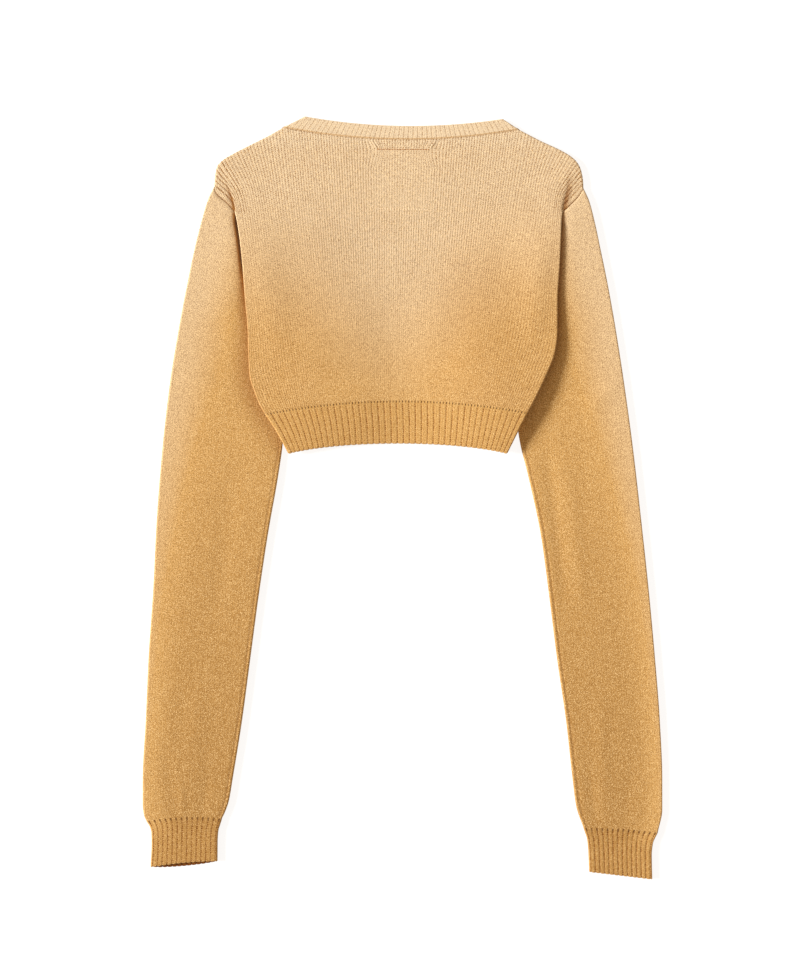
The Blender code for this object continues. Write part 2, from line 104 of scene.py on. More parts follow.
# One row for each section across the body, from the armholes down to the waistband's seam.
# y, edge: a point of the outline. fold: where the pleat's crease runs on that section.
# back_rise, front_rise: how far the sleeve and the folds beneath lift each panel there.
# spare: extra air between the panels. reach: how far in from the edge the lift goes on.
Section = namedtuple("Section", "y edge fold back_rise front_rise spare reach")

LEFT_BODY = [
    Section(326.0, -197.4, -183.4, 0.3, 0.0, 0.0, 4),
    Section(318.8, -195.6, -180.2, 0.9, 0.0, 0.0, 4),
    Section(313.8, -190.8, -178.4, 1.3, 0.0, 0.0, 4),
    Section(308.4, -184.2, -176.9, 1.8, 0.0, 0.0, 5),
    Section(302.4, -179.0, -175.6, 2.3, 0.4, 0.0, 5),
    Section(299.0, -176.2, -176.2, 2.6, 1.0, 0.0, 6),
    Section(292.0, -174.0, -174.0, 4.2, 3.4, 0.0, 7),
    Section(282.0, -172.2, -172.2, 6.0, 5.6, 0.0, 9),
    Section(268.0, -170.2, -170.2, 6.8, 6.7, 0.1, 11),
    Section(244.0, -167.6, -167.6, 6.8, 6.8, 0.2, 15),
    Section(207.4, -164.9, -164.9, 6.8, 6.8, 0.3, 27),
    Section(173.3, -162.0, -162.0, 6.8, 6.8, 0.4, 50),
    Section(141.0, -161.0, -161.0, 6.9, 6.9, 0.5, 47),
    Section(126.0, -159.9, -159.9, 7.0, 7.0, 0.6, 45),
    Section(110.8, -155.2, -155.2, 7.0, 7.0, 0.7, 40),
    Section(98.0, -150.2, -150.2, 7.0, 7.0, 0.7, 33),
    Section(87.7, -144.4, -144.4, 7.0, 7.0, 0.7, 27),
]
RIGHT_BODY = [
    Section(323.9, 189.9, 171.7, 0.6, 0.0, 0.0, 4),
    Section(318.0, 186.2, 170.0, 1.1, 0.0, 0.0, 4),
    Section(313.0, 182.3, 168.9, 1.4, 0.0, 0.0, 4),
    Section(306.4, 175.9, 168.0, 1.9, 0.0, 0.0, 5),
    Section(302.0, 171.7, 167.6, 2.3, 0.4, 0.0, 5),
    Section(298.7, 168.2, 168.2, 2.6, 1.0, 0.0, 6),
    Section(291.4, 166.9, 166.9, 4.2, 3.4, 0.0, 7),
    Section(282.0, 166.4, 166.4, 6.0, 5.6, 0.0, 9),
    Section(268.0, 165.8, 165.8, 6.9, 6.8, 0.1, 11),
    Section(244.0, 164.6, 164.6, 7.0, 7.0, 0.2, 15),
    Section(207.4, 162.4, 162.4, 7.2, 7.2, 0.3, 31),
    Section(173.3, 162.2, 162.2, 7.4, 7.4, 0.4, 57),
    Section(152.0, 159.6, 159.6, 7.8, 7.8, 0.8, 53),
    Section(132.0, 152.2, 152.2, 8.1, 8.1, 2.0, 44),
    Section(114.0, 144.0, 144.0, 8.4, 8.4, 3.0, 33),
    Section(100.0, 137.0, 137.0, 8.4, 8.4, 3.4, 25),
    Section(89.1, 131.3, 131.3, 8.4, 8.4, 3.6, 19),
]
# The waistband's sections, from its seam to the hem.
LEFT_WAIST = [
    LEFT_BODY[-1],
    Section(67.7, -131.3, -131.3, 6.8, 6.8, 0.6, 12),
    Section(46.2, -119.7, -119.7, 5.4, 5.4, 0.4, 6),
]
RIGHT_WAIST = [
    RIGHT_BODY[-1],
    Section(69.0, 121.0, 121.0, 8.1, 8.1, 2.6, 8),
    Section(46.2, 109.7, 109.7, 6.8, 6.8, 1.5, 5),
]
SHOULDER_CORNER = 5            # the last armhole section: below it the side is a folded edge

# Shoulder outlines, from the top of the armhole to the neck.
LEFT_SHOULDER = [
    (-197.4, 326.0), (-196.9, 335.0), (-194.8, 346.6), (-188.5, 353.9),
    (-175.9, 361.4), (-140.2, 379.6), (-125.5, 388.0),
]
RIGHT_SHOULDER = [
    (189.9, 323.9), (189.4, 333.0), (187.6, 342.6), (184.0, 350.6),
    (176.0, 358.4), (142.3, 375.4), (122.3, 385.9),
]
# Upper corners of the neckband, where it folds over to the front.
LEFT_BAND_TOP = (-103.4, 399.3)
RIGHT_BAND_TOP = (106.0, 396.6)

# One row for each ring round a sleeve, from the armhole to the cuff. bow: how much of the
# armhole's curve the ring still has. arch: how far its middle lies above its ends.
Ring = namedtuple("Ring", "outer_x outer_y inner_x inner_y bow arch", defaults=(0.0, 0.0))
LEFT_SLEEVE = [
    Ring(-197.7, 325.8, -116.0, 170.6, 1.00),
    Ring(-204.2, 312.0, -117.0, 160.0, 0.80),
    Ring(-211.0, 289.3, -118.6, 146.5, 0.58),
    Ring(-217.9, 262.0, -120.2, 129.7, 0.36),
    Ring(-225.8, 224.2, -121.8, 110.8, 0.16),
    Ring(-234.2, 180.1, -123.4, 87.7),
    Ring(-244.1, 119.2, -125.5, 57.2),
    Ring(-252.0, 49.9, -130.7, 20.5),
    Ring(-257.8, -23.6, -140.7, -36.2),
    Ring(-261.5, -97.1, -150.7, -102.4),
    Ring(-266.2, -165.4, -159.1, -165.4),
    Ring(-269.3, -233.6, -168.5, -235.7),
    Ring(-272.5, -296.6, -178.0, -294.5),
    Ring(-272.5, -320.8, -182.2, -318.7, arch=1.0),
    Ring(-271.2, -333.0, -186.4, -330.5, arch=2.3),
    Ring(-268.5, -339.0, -189.3, -336.5, arch=3.0),
]
RIGHT_SLEEVE = [
    Ring(190.2, 323.7, 110.8, 170.6, 1.00),
    Ring(195.8, 311.3, 111.8, 160.0, 0.80),
    Ring(202.1, 287.2, 113.4, 146.5, 0.58),
    Ring(207.9, 259.9, 115.0, 129.7, 0.36),
    Ring(215.2, 224.2, 116.6, 110.8, 0.16),
    Ring(223.1, 180.1, 118.7, 89.8),
    Ring(232.6, 119.2, 122.9, 59.3),
    Ring(242.0, 49.9, 131.8, 22.6),
    Ring(250.4, -23.6, 144.9, -38.3),
    Ring(258.3, -97.1, 153.8, -103.4),
    Ring(264.6, -165.4, 161.7, -166.4),
    Ring(269.9, -233.6, 171.7, -235.7),
    Ring(272.5, -296.6, 178.5, -296.6),
    Ring(272.5, -327.0, 182.2, -323.9, arch=0.5),
    Ring(267.8, -351.0, 189.8, -346.2, arch=1.5),
]
# Armhole seams on the sleeve's side: the part that shows, then the part under the body.
LEFT_ARMHOLE = [
    (-197.8, 325.7), (-196.1, 318.5), (-191.2, 313.3), (-184.6, 308.0), (-179.5, 302.0), (-176.8, 299.2),
    (-174.6, 291.8), (-172.8, 281.8), (-169.4, 270.0), (-151.0, 219.0), (-116.0, 170.6),
]
RIGHT_ARMHOLE = [
    (190.3, 323.6), (186.6, 317.6), (182.7, 312.5), (176.3, 305.9), (172.1, 301.5), (168.7, 298.3),
    (167.5, 291.2), (167.0, 281.8), (164.4, 270.0), (147.0, 219.0), (110.8, 170.6),
]
# Rings of the cuffs down to the wrist; the first one is the sleeve's last ring.
LEFT_CUFF = [
    Ring(-264.8, -345.0, -191.1, -342.6, arch=2.8),
    Ring(-263.2, -351.0, -193.0, -348.6, arch=2.4),
    Ring(-262.9, -362.0, -193.8, -359.0, arch=2.0),
    Ring(-264.0, -386.9, -194.0, -380.6, arch=1.5),
]
RIGHT_CUFF = [
    Ring(265.1, -356.3, 191.6, -351.6, arch=1.2),
    Ring(262.7, -362.0, 193.6, -357.6, arch=0.8),
    Ring(261.3, -374.0, 194.8, -369.5, arch=0.4),
    Ring(261.8, -399.7, 195.8, -391.9),
]

# Soft folds and puckers: a ridge, or a trough where the height is negative, from one end to the other.
Fold = namedtuple("Fold", "x0 y0 x1 y1 width height")
BACK_FOLDS = [
    Fold(-32.5, 374.0, -26.5, 365.5, 1.3, 0.50),
    Fold(-28.5, 374.5, -23.5, 366.5, 1.2, 0.40),
    Fold(35.0, 374.0, 28.5, 365.5, 1.3, 0.55),
    Fold(31.0, 374.5, 25.5, 366.5, 1.2, 0.45),
    Fold(-25.0, 368.5, 27.5, 368.5, 2.6, 0.35),
    Fold(1.0, 352.0, -1.5, 240.0, 5.0, -0.12),
    Fold(-150.0, 250.0, -128.0, 150.0, 16.0, 0.7),
    Fold(-118.0, 285.0, -96.0, 170.0, 20.0, -0.5),
    Fold(146.0, 262.0, 136.0, 165.0, 14.0, 0.8),
    Fold(112.0, 290.0, 98.0, 190.0, 22.0, -0.5),
    Fold(-186.0, 345.0, -150.0, 322.0, 9.0, 0.5),
    Fold(178.0, 342.0, 146.0, 318.0, 9.0, 0.5),
    Fold(-60.0, 215.0, -22.0, 128.0, 18.0, 0.4),
    Fold(-20.0, 128.0, -22.0, 66.0, 60.0, 2.6),
    Fold(66.0, 206.0, 34.0, 122.0, 16.0, -0.4),
]
FRONT_FOLDS = [
    Fold(-96.0, 300.0, -60.0, 170.0, 16.0, 0.7),
    Fold(84.0, 286.0, 52.0, 150.0, 18.0, 0.6),
    Fold(-20.0, 262.0, -8.0, 140.0, 14.0, 0.5),
    Fold(128.0, 230.0, 96.0, 130.0, 12.0, 0.5),
]
SLEEVE_FOLDS = [
    Fold(-229.0, 127.0, -198.0, 122.0, 4.0, 0.8),
    Fold(-262.0, -134.0, -166.0, -133.0, 6.0, -0.45),
    Fold(-176.0, 20.0, -196.0, -120.0, 12.0, -0.5),
    Fold(-214.0, -205.0, -222.0, -300.0, 11.0, 0.4),
    Fold(-247.0, -262.0, -243.0, -318.0, 6.0, -0.3),
    Fold(-203.0, -292.0, -210.0, -334.0, 5.0, -0.3),
    Fold(-232.0, -300.0, -230.0, -336.0, 4.0, 0.3),
    Fold(152.0, 45.0, 170.0, -100.0, 7.0, -0.6),
    Fold(172.0, 30.0, 190.0, -110.0, 9.0, 0.5),
    Fold(207.0, -220.0, 213.0, -330.0, 8.0, 0.4),
    Fold(240.0, -285.0, 232.0, -346.0, 7.0, -0.3),
    Fold(196.0, -290.0, 203.0, -344.0, 5.0, -0.3),
    Fold(224.0, 120.0, 196.0, 92.0, 9.0, 0.6),
]


# ---------------------------------------------------------------- settings


def size_prop(name, description, default):
    return FloatProperty(name=name, description=description, default=default, unit="LENGTH", precision=5)


def colour_prop(name, description, default):
    return FloatVectorProperty(name=name, description=description, default=default,
                               subtype="COLOR", size=3, min=0.0, max=1.0)


class SweaterKnit(bpy.types.PropertyGroup):
    """Stitches and their relief."""
    back_wales: IntProperty(name="Back wales", description="Wales across the back panel", default=136)
    neck_wales: IntProperty(name="Neck wales", description="Of these, wales that end at the neck", default=84)
    wale: size_prop("Wale width", "Width of one wale on the front and the sleeves", 0.0027)
    course: size_prop("Course height", "Height of one course of stitches", 0.0021)
    wale_raise: size_prop("Wale relief", "How far a wale stands above its grooves", 0.0001)
    rib_raise: size_prop("Rib relief", "How far a rib stands above its grooves", 0.00022)
    waist_ribs: IntProperty(name="Waist ribs", description="Ribs across the waistband", default=42)
    neck_ribs: IntProperty(name="Neck ribs", description="Ribs across the back neckband", default=49)
    cuff_ribs: IntProperty(name="Cuff ribs", description="Ribs across one layer of a cuff", default=15)
    stitch_bump: size_prop("Stitch bump", "Depth of the yarn's own relief", 0.00035)


class SweaterYarn(bpy.types.PropertyGroup):
    """Colours of the wool and of the sewing thread."""
    faded: colour_prop("Faded", "Yarn where the dye has faded", (0.76, 0.622, 0.437))
    ochre: colour_prop("Ochre", "Yarn at its full colour", (0.603, 0.345, 0.108))
    deep: colour_prop("Deep ochre", "Yarn at the cuffs", (0.415, 0.217, 0.055))
    pale_fibre: colour_prop("Pale fibre", "Light fibres in the heather", (1.0, 0.74, 0.38))
    dark_fibre: colour_prop("Dark fibre", "Dark fibres in the heather", (0.22, 0.10, 0.025))
    # Painted shade: this groove tint darkens the grooves between wales and ribs, and gives the lighter part
    # of the painted shade in creases and crevices
    groove: colour_prop("Groove", "Tint of the yarn in a groove", (0.42, 0.24, 0.09))
    # Painted shade: this is the darkest painted shade, deep in the linked seams' holes and in the crevices
    # beside the body's edge
    hollow: colour_prop("Hollow", "Yarn deep in a hole or a crevice", (0.09, 0.035, 0.008))
    thread: colour_prop("Thread", "Sewing thread above the label's place", (0.42, 0.17, 0.04))
    pale_thread: colour_prop("Pale thread", "Sewing thread below the label's place", (1.0, 0.80, 0.54))


class SweaterStage(bpy.types.PropertyGroup):
    """Camera, lights and floor."""
    height: size_prop("Camera height", "Height of the camera above the surface", 2.38)
    centre_x: size_prop("Centre X", "What the camera looks at", -0.0026)
    centre_y: size_prop("Centre Y", "What the camera looks at", 0.0184)
    lens: FloatProperty(name="Lens", description="Focal length in millimetres", default=85.0)
    floor: colour_prop("Floor", "Colour of the sheet on the light table", (0.25, 0.25, 0.25))
    glow: FloatProperty(name="Glow", description="Light that comes through the sheet", default=0.85)
    key: FloatProperty(name="Key light", description="Strength of the low light at the left", default=5.7)
    softness: FloatProperty(name="Key softness", description="Angle that the key light fills",
                            default=math.radians(17), unit="ROTATION")
    rise: FloatProperty(name="Key height", description="Angle of the key light above the surface",
                        default=math.radians(26), unit="ROTATION")
    turn: FloatProperty(name="Key turn", description="How far the key light comes from the neck's side",
                        default=math.radians(5), unit="ROTATION")
    sky: FloatProperty(name="Sky", description="Strength of the light all round", default=0.50)
    fill: colour_prop("Fill", "Colour of the light all round, warm from the cloth itself", (1.0, 0.80, 0.60))


# ---------------------------------------------------------------- lines and heights


def mix(low, high, part):
    return low + (high - low) * part


def smooth(part):
    part = np.clip(part, 0.0, 1.0)
    return part * part * (3 - 2 * part)


def rising(value, start, end):
    """0 up to start, 1 from end on, and a smooth step between them."""
    return smooth((value - start) / (end - start))


def falling(value, start, end):
    """1 up to start, 0 from end on, and a smooth step between them."""
    return smooth((end - value) / (end - start))


def bell(value, middle, half):
    """1 at the middle, dying away softly to both sides of it."""
    return np.exp(-((value - middle) / half) ** 2)


def unit(vectors):
    return vectors / np.maximum(np.linalg.norm(vectors, axis=1, keepdims=True), 1e-9)


def read_smooth(knots, rows, at):
    """Rows of numbers read between rising knots, on a smooth line that doesn't overshoot them."""
    rows = np.array(rows, float)
    run = np.diff(knots)[:, None]
    slope = np.diff(rows, axis=0) / run
    before, after = slope[:-1], slope[1:]
    total = np.where(before * after > 0, before + after, 1.0)
    bend = np.where(before * after > 0, 2 * before * after / total, 0.0)
    tangent = np.vstack([slope[:1], bend, slope[-1:]])
    span = np.clip(np.searchsorted(knots, at, side="right") - 1, 0, len(run) - 1)
    part = np.clip((at - knots[span]) / run[span, 0], 0, 1)[:, None]
    step = run[span]
    start, end = rows[span], rows[span + 1]
    return (start * (1 + 2 * part) * (1 - part) ** 2 + end * part ** 2 * (3 - 2 * part)
            + step * part * (1 - part) * (tangent[span] * (1 - part) - tangent[span + 1] * part))


class Line:
    """A smooth line through points, read by the part of its length."""

    def __init__(self, points):
        self.points = np.array(points, float)
        steps = np.linalg.norm(np.diff(self.points, axis=0), axis=1)
        self.knots = np.concatenate([[0.0], np.cumsum(steps)]) / steps.sum()

    def at(self, part):
        return read_smooth(self.knots, self.points, np.atleast_1d(part))


def outline(sections):
    """The points of a side of the body."""
    return [(s.edge, s.y) for s in sections]


def arch(part, left, right, rise):
    """Points on a shallow arch between two points; a negative rise makes it hang."""
    bow = rise * (1 - (2 * part - 1) ** 2)
    return np.stack([mix(left[0], right[0], part), mix(left[1], right[1], part) + bow], axis=1)


def scoop(part, left, right, drop):
    """Points on the front neckline, half an ellipse between two points."""
    angle = math.pi * part
    level = mix(left[1], right[1], part)
    half = (right[0] - left[0]) / 2
    return np.stack([left[0] + half - half * np.cos(angle), level - drop * np.sin(angle)], axis=1)


def fold_heights(places, folds):
    """How far soft folds raise the cloth at each place."""
    total = np.zeros(len(places))
    for fold in folds:
        start = np.array([fold.x0, fold.y0])
        run = np.array([fold.x1, fold.y1]) - start
        length = np.linalg.norm(run)
        part = (places - start) @ run / length ** 2
        side = np.abs((places - start) @ np.array([-run[1], run[0]])) / length
        taper = rising(part, -FOLD_FADE, FOLD_FADE) * falling(part, 1 - FOLD_FADE, 1 + FOLD_FADE)
        total += fold.height * taper * bell(side, 0, fold.width)
    return total


def side_sink(y, distance):
    """How far the folded sides sink onto the sleeves, at a distance in from their edge."""
    return SIDE_SINK * bell(y, SINK_Y, SINK_HALF) * falling(distance, 3, 7)


class Body:
    """The two layers of the body: where their skins are and which way these face."""

    SAMPLES = 40               # points on each stretch of the folded outline
    CHUNK = 4000               # places worked out at a time
    SLACK = 0.12               # a place this near the outline counts as on it

    def __init__(self):
        self.left = LEFT_BODY + LEFT_WAIST[1:]
        self.right = RIGHT_BODY + RIGHT_WAIST[1:]
        left_side = outline(self.left[SHOULDER_CORNER:])[::-1]
        right_side = outline(self.right[SHOULDER_CORNER:])
        left_band = [LEFT_SHOULDER[-1], LEFT_BAND_TOP]
        right_band = [RIGHT_BAND_TOP, RIGHT_SHOULDER[-1]]
        self.starts = []
        self.runs = []
        for path in (left_side, LEFT_SHOULDER, left_band, right_band, RIGHT_SHOULDER[::-1], right_side):
            points = Line(path).at(np.linspace(0, 1, self.SAMPLES))
            self.starts.append(points[:-1])
            self.runs.append(np.diff(points, axis=0))
        self.starts = np.vstack(self.starts)
        self.runs = np.vstack(self.runs)

    def edge(self, places):
        """Distance of each place to the nearest folded edge, and the direction out of the body there."""
        far = []
        out = []
        length = np.linalg.norm(self.runs, axis=1)
        normal = np.stack([-self.runs[:, 1], self.runs[:, 0]], axis=1) / length[:, None]
        for first in range(0, len(places), self.CHUNK):
            gap = places[first:first + self.CHUNK, None, :] - self.starts[None]
            part = np.clip((gap * self.runs).sum(2) / length ** 2, 0, 1)
            distance = np.linalg.norm(gap - part[..., None] * self.runs, axis=2)
            nearest = distance.argmin(axis=1)
            far.append(np.maximum(distance[np.arange(len(nearest)), nearest] - self.SLACK, 0.0))
            out.append(normal[nearest])
        return np.concatenate(far), np.vstack(out)

    def lift(self, places, on_back):
        """How far the sleeves and folds beneath lift a layer, and the spare air that goes with it."""
        x, y = places.T
        total = np.zeros(len(x))
        spare = np.zeros(len(x))
        for table, side in ((self.left, 1), (self.right, -1)):
            upwards = table[::-1]
            levels = np.array([s.y for s in upwards])
            facts = [(s.fold, s.back_rise if on_back else s.front_rise, s.spare, s.reach) for s in upwards]
            fold, rise, air, reach = read_smooth(levels, facts, np.clip(y, levels[0], levels[-1])).T
            inward = (x - fold) * side
            cover = falling(inward, reach, reach + (BACK_RAMP if on_back else COVER_RAMP))
            pleated = rising(y, PLEAT_TO, PLEAT_FROM)
            step = mix(1.0, smooth((inward + STEP_LEAD) / STEP_RUN), pleated)
            press = 1 - BACK_PRESS * rising(y, 130, 250) if on_back else 1.0
            total += rise * cover * step * press * smooth((LIFT_FROM - y) / LIFT_RUN)
            spare += air * cover
        return total, spare

    def back(self, places):
        """Points and facings of the back layer's skin, which rolls down at the folded edges."""
        rise, spare = self.lift(places, on_back=True)
        under, _ = self.lift(places, on_back=False)
        top = LAID + rise + spare + fold_heights(places, BACK_FOLDS)
        distance, out = self.edge(places)
        rim = under - side_sink(places[:, 1], distance) + WALL
        lean = np.clip(1 - distance / EDGE_ROLL, 0, 1)
        upright = np.sqrt(1 - lean ** 2)
        points = np.column_stack([places, mix(rim, top, upright)])
        return points, np.column_stack([out * lean[:, None], upright])

    def front(self, places):
        """Points and facings of the front layer's skin, which faces down."""
        rise, _ = self.lift(places, on_back=False)
        distance, out = self.edge(places)
        lean = np.clip(1 - distance / FRONT_ROLL, 0, 1)
        upright = np.sqrt(1 - lean ** 2)
        sag = np.maximum(fold_heights(places, FRONT_FOLDS), 0.0)
        height = rise + sag - side_sink(places[:, 1], distance) + WALL * (1 - upright)
        points = np.column_stack([places, height])
        return points, np.column_stack([out * lean[:, None], -upright])


class Panel:
    """Places on a body panel: its four edges blended into one patch."""

    def __init__(self, neck, neck_share):
        self.corner = (1 - neck_share) / 2
        self.neck = neck
        self.shoulders = Line(LEFT_SHOULDER), Line(RIGHT_SHOULDER)
        self.sides = Line(outline(LEFT_BODY)), Line(outline(RIGHT_BODY))
        self.chords = [Line(outline(table[:1] + table[SHOULDER_CORNER + 1:]))
                       for table in (LEFT_BODY, RIGHT_BODY)]

    def top(self, part):
        left, right = (line.at(np.clip(p / self.corner, 0, 1))
                       for line, p in zip(self.shoulders, (part, 1 - part)))
        middle = self.neck(np.clip((part - self.corner) / (1 - 2 * self.corner), 0, 1))
        on_left = (part < self.corner)[:, None]
        on_right = (part > 1 - self.corner)[:, None]
        return np.where(on_left, left, np.where(on_right, right, middle))

    def place(self, part, down):
        """Places by their share across and down.

        The wales at the side run along the armhole, and those further in take its chord.
        """
        places = mix(self.top(part), waist_seam(part), down[:, None])
        for line, chord, share in zip(self.sides, self.chords, (part, 1 - part)):
            ahead = (down + LEAD * rising(share, 0, LEAD_SHARE) * rising(down, 0, LEAD)
                     * falling(down, 0.3, 0.6))
            near = line.at(ahead) - mix(line.points[0], line.points[-1], ahead[:, None])
            far = chord.at(down) - mix(line.points[0], line.points[-1], down[:, None])
            away = mix(near, far, rising(share, 0.02, 0.06)[:, None])
            places += away * falling(share, 0, self.corner)[:, None]
        return places


def spread(wale, count):
    """The share of a panel's width that a wale is at."""
    from_side = np.minimum(wale, count - wale)
    share = (from_side + BROADER * np.minimum(from_side, BROAD)) / (count + 2 * BROADER * BROAD)
    return np.where(wale < count / 2, share, 1 - share)


def waist_seam(part):
    left, right = LEFT_BODY[-1], RIGHT_BODY[-1]
    return arch(part, (left.edge, left.y), (right.edge, right.y), WAIST_ARCH)


def back_neck(part):
    return arch(part, LEFT_SHOULDER[-1], RIGHT_SHOULDER[-1], -NECK_DIP)


def front_neck(part):
    return scoop(part, LEFT_SHOULDER[-1], RIGHT_SHOULDER[-1], FRONT_NECK_DROP)


def waistband_place(part, down):
    """A place on a waistband: the ribs lean in at its sides and stand upright in its middle."""
    left = Line(outline(LEFT_WAIST)).at(down)
    right = Line(outline(RIGHT_WAIST)).at(down)
    places = mix(left, right, part[:, None])
    aside = 2 * part - 1
    narrower = (RIGHT_WAIST[0].edge - LEFT_WAIST[0].edge - right[:, 0] + left[:, 0]) / 2
    places[:, 0] += UPRIGHT * narrower * (aside - aside ** 3)
    places[:, 1] += mix(WAIST_ARCH, HEM_ARCH, down) * (1 - aside ** 2) - SEAM * falling(down, 0, 0.1)
    return places


def neckband_place(part, down, seam, edge):
    """A place on a neckband; down is 0 at its upper edge and 1 at its seam."""
    places = mix(edge(part), seam(part), down[:, None])
    places[:, 1] += SEAM * rising(down, 0.7, 1)
    return places


class Tube:
    """A sleeve or cuff pressed flat on the surface, read round (from its inner edge, over the top)."""

    def __init__(self, rings, armhole=None, folds=(), lip=0.0):
        self.rings = np.array([tuple(ring) for ring in rings], float)
        middle = (self.rings[:, :2] + self.rings[:, 2:4]) / 2
        steps = np.linalg.norm(np.diff(middle, axis=0), axis=1)
        self.length = steps.sum()
        self.knots = np.concatenate([[0.0], np.cumsum(steps)]) / self.length
        self.armhole = Line(armhole) if armhole else None
        self.folds = folds
        self.lip = lip

    def skin(self, round_it, down):
        """Points, facings, and how far each is from the outer edge and from the inner one."""
        outer_x, outer_y, inner_x, inner_y, bow, bend = read_smooth(self.knots, self.rings, down).T
        outer = np.stack([outer_x, outer_y], axis=1)
        inner = np.stack([inner_x, inner_y], axis=1)
        width = np.linalg.norm(inner - outer, axis=1)
        below = round_it > 0.5
        radius = LAID / 2
        flat = width - 2 * radius
        # The way round is a half circle, a flat run and a half circle again, for each layer.
        way = np.where(below, 1 - round_it, round_it) * 2 * (flat + math.pi * radius)
        quarter = math.pi * radius / 2
        turn_in = np.clip(way / radius, 0, math.pi / 2)
        turn_out = np.clip((way - quarter - flat) / radius, 0, math.pi / 2)
        run = np.clip(way - quarter, 0, flat)
        roll = TUBE_ROLL * radius
        from_inner = roll * (1 - np.cos(turn_in)) + run * (width - 2 * roll) / flat + roll * np.sin(turn_out)
        lift = np.where(turn_out > 0, np.cos(turn_out), np.sin(turn_in))
        part = 1 - from_inner / width
        places = mix(outer, inner, part[:, None])
        places[:, 1] += bend * (1 - (2 * part - 1) ** 2)
        if self.armhole:
            straight = mix(self.armhole.points[0], self.armhole.points[-1], part[:, None])
            places += (self.armhole.at(part) - straight) * bow[:, None]
        side = np.where(below, -1.0, 1.0)
        lean = np.where(turn_out > 0, -np.sin(turn_out), np.cos(turn_in))
        across = unit(inner - outer)
        folds = fold_heights(places, self.folds) * np.clip(lift, 0, 1) if self.folds else 0.0
        height = radius + side * radius * lift + np.where(below, 0.0, folds)
        skin = np.column_stack([across * lean[:, None], side * lift])
        lens = np.clip(4 * part * (1 - part), 0, 1) ** 0.8
        places[:, 1] -= np.where(below, self.lip * rising(down, 0.5, 1) * lens, 0.0)
        return np.column_stack([places, height]), skin, part * width, from_inner


def cuff_rings(sleeve, cuff):
    """A cuff's rings, the first of them SEAM below the sleeve's end."""
    end = sleeve[-1]
    return [end._replace(outer_y=end.outer_y - SEAM, inner_y=end.inner_y - SEAM)] + cuff


# ---------------------------------------------------------------- knitting a grid


STITCHES = "stitches"          # UV map: wales across, courses up
FADE = "fade"                  # dye: 1 is faded, 0 the full colour and -1 the deepest
RIDGE = "ridge"                # how clearly the wales or ribs stand out
SEAMS = "seams"                # how near a linked edge is, from 0 to 1
# The shade attribute carries painted shade in crevices, along creases and on edges that face the low light,
# and the dark of sewn lines
SHADE = "shade"                # how deep in a crevice or a sewn line, from 0 to 1
MARKS = (FADE, RIDGE, SEAMS, SHADE)
BEND = (0.5, 1.0, 1.571, 2.2, 2.8)     # angles round the small bend of a turned edge
WALE_POWER = 2.2               # how squarely a wale falls off into its grooves
RIB_POWER = 4                  # the same for a rib, which is nearly flat with narrow grooves
SCALLOP = 0.016                # how much of a band's length its grooves end short of its ribs

# A row of a grid: the share of the length down it, and how far out past the edge and how deep under
# the skin it lies where an edge is turned in.
Row = namedtuple("Row", "down out depth")


def turned(rows, length, turn, inside, top=True, bottom=True):
    """Grid rows with their ends turned in: round a small bend, then back along the inside."""
    main = [Row(down, 0.0, 0.0) for down in rows]

    def hem(edge, back):
        bend = [Row(edge, turn * math.sin(angle), turn * (1 - math.cos(angle))) for angle in BEND]
        under = [Row(edge + back * run / length, 0.0, 2 * turn) for run in (0.2 * inside, inside)]
        return bend + under

    above = hem(rows[0], 1)[::-1] if top else []
    below = hem(rows[-1], -1) if bottom else []
    return above + main + below


def profile(count, power):
    """Height of a wale or rib over its groove, from 0 to 1."""
    return 1 - np.abs(2 * (count % 1.0) - 1) ** power


def scalloped(ribs, down):
    """The share down a band at which its skin is read, so that the grooves end short of the ribs."""
    return down - SCALLOP * (1 - profile(ribs, RIB_POWER)) * rising(down, 0.8, 1)


def mesh_object(name, shape):
    """The object of a finished shape."""
    mesh = bpy.data.meshes.new(name)
    shape.to_mesh(mesh)
    shape.free()
    mesh.shade_smooth()
    piece = bpy.data.objects.new(name, mesh)
    bpy.context.scene.collection.objects.link(piece)
    return piece


def knit_grid(name, columns, rows, length, skin, wales, marks, relief=None, closed=False):
    """A skin of knit on a grid.

    columns: the wale or rib, or the share round a tube, of each column. rows: Row of each row.
    length: of the whole piece along its wales. skin(column, down) gives points and facings,
    wales(column, down) the wale that each is on, and relief(column, down) the height of the stitches.
    marks: for each attribute, a function that gives its value at every point.
    """
    shape = bmesh.new()
    uv = shape.loops.layers.uv.new(STITCHES)
    for mark in MARKS:
        shape.verts.layers.float.new(mark)
    bmesh.ops.create_grid(shape, x_segments=len(columns) - 1, y_segments=len(rows) - 1, size=0.5)
    spots = np.array([vert.co[:2] for vert in shape.verts]) + 0.5
    column = np.rint(spots[:, 0] * (len(columns) - 1)).astype(int)
    row = np.rint((1 - spots[:, 1]) * (len(rows) - 1)).astype(int)
    u = np.array(columns)[column]
    down, out, depth = np.array(rows, float)[row].T
    points, facing = skin(u, down)
    nudge = np.where(down < 0.5, 1e-3, -1e-3)
    inwards, _ = skin(u, down + nudge)
    points += unit(points - inwards) * out[:, None]
    raised = relief(u, down) * (depth == 0) if relief else 0.0
    points += facing * (raised - depth)[:, None]
    wale = wales(u, down)
    course = (1 - down) * length * MM / bpy.context.scene.sweater_knit.course
    for vert, point in zip(shape.verts, points):
        vert.co = point * MM
    for mark, make in marks.items():
        layer = shape.verts.layers.float[mark]
        for vert, value in zip(shape.verts, make(points, u, down, depth)):
            vert[layer] = value
    shape.verts.index_update()
    for face in shape.faces:
        for loop in face.loops:
            spot = loop.vert.index
            loop[uv].uv = (wale[spot], course[spot])
    if closed:
        rim = [vert for vert in shape.verts if column[vert.index] in (0, len(columns) - 1)]
        bmesh.ops.remove_doubles(shape, verts=rim, dist=1e-6)
    return mesh_object(name, shape)


# ---------------------------------------------------------------- dye


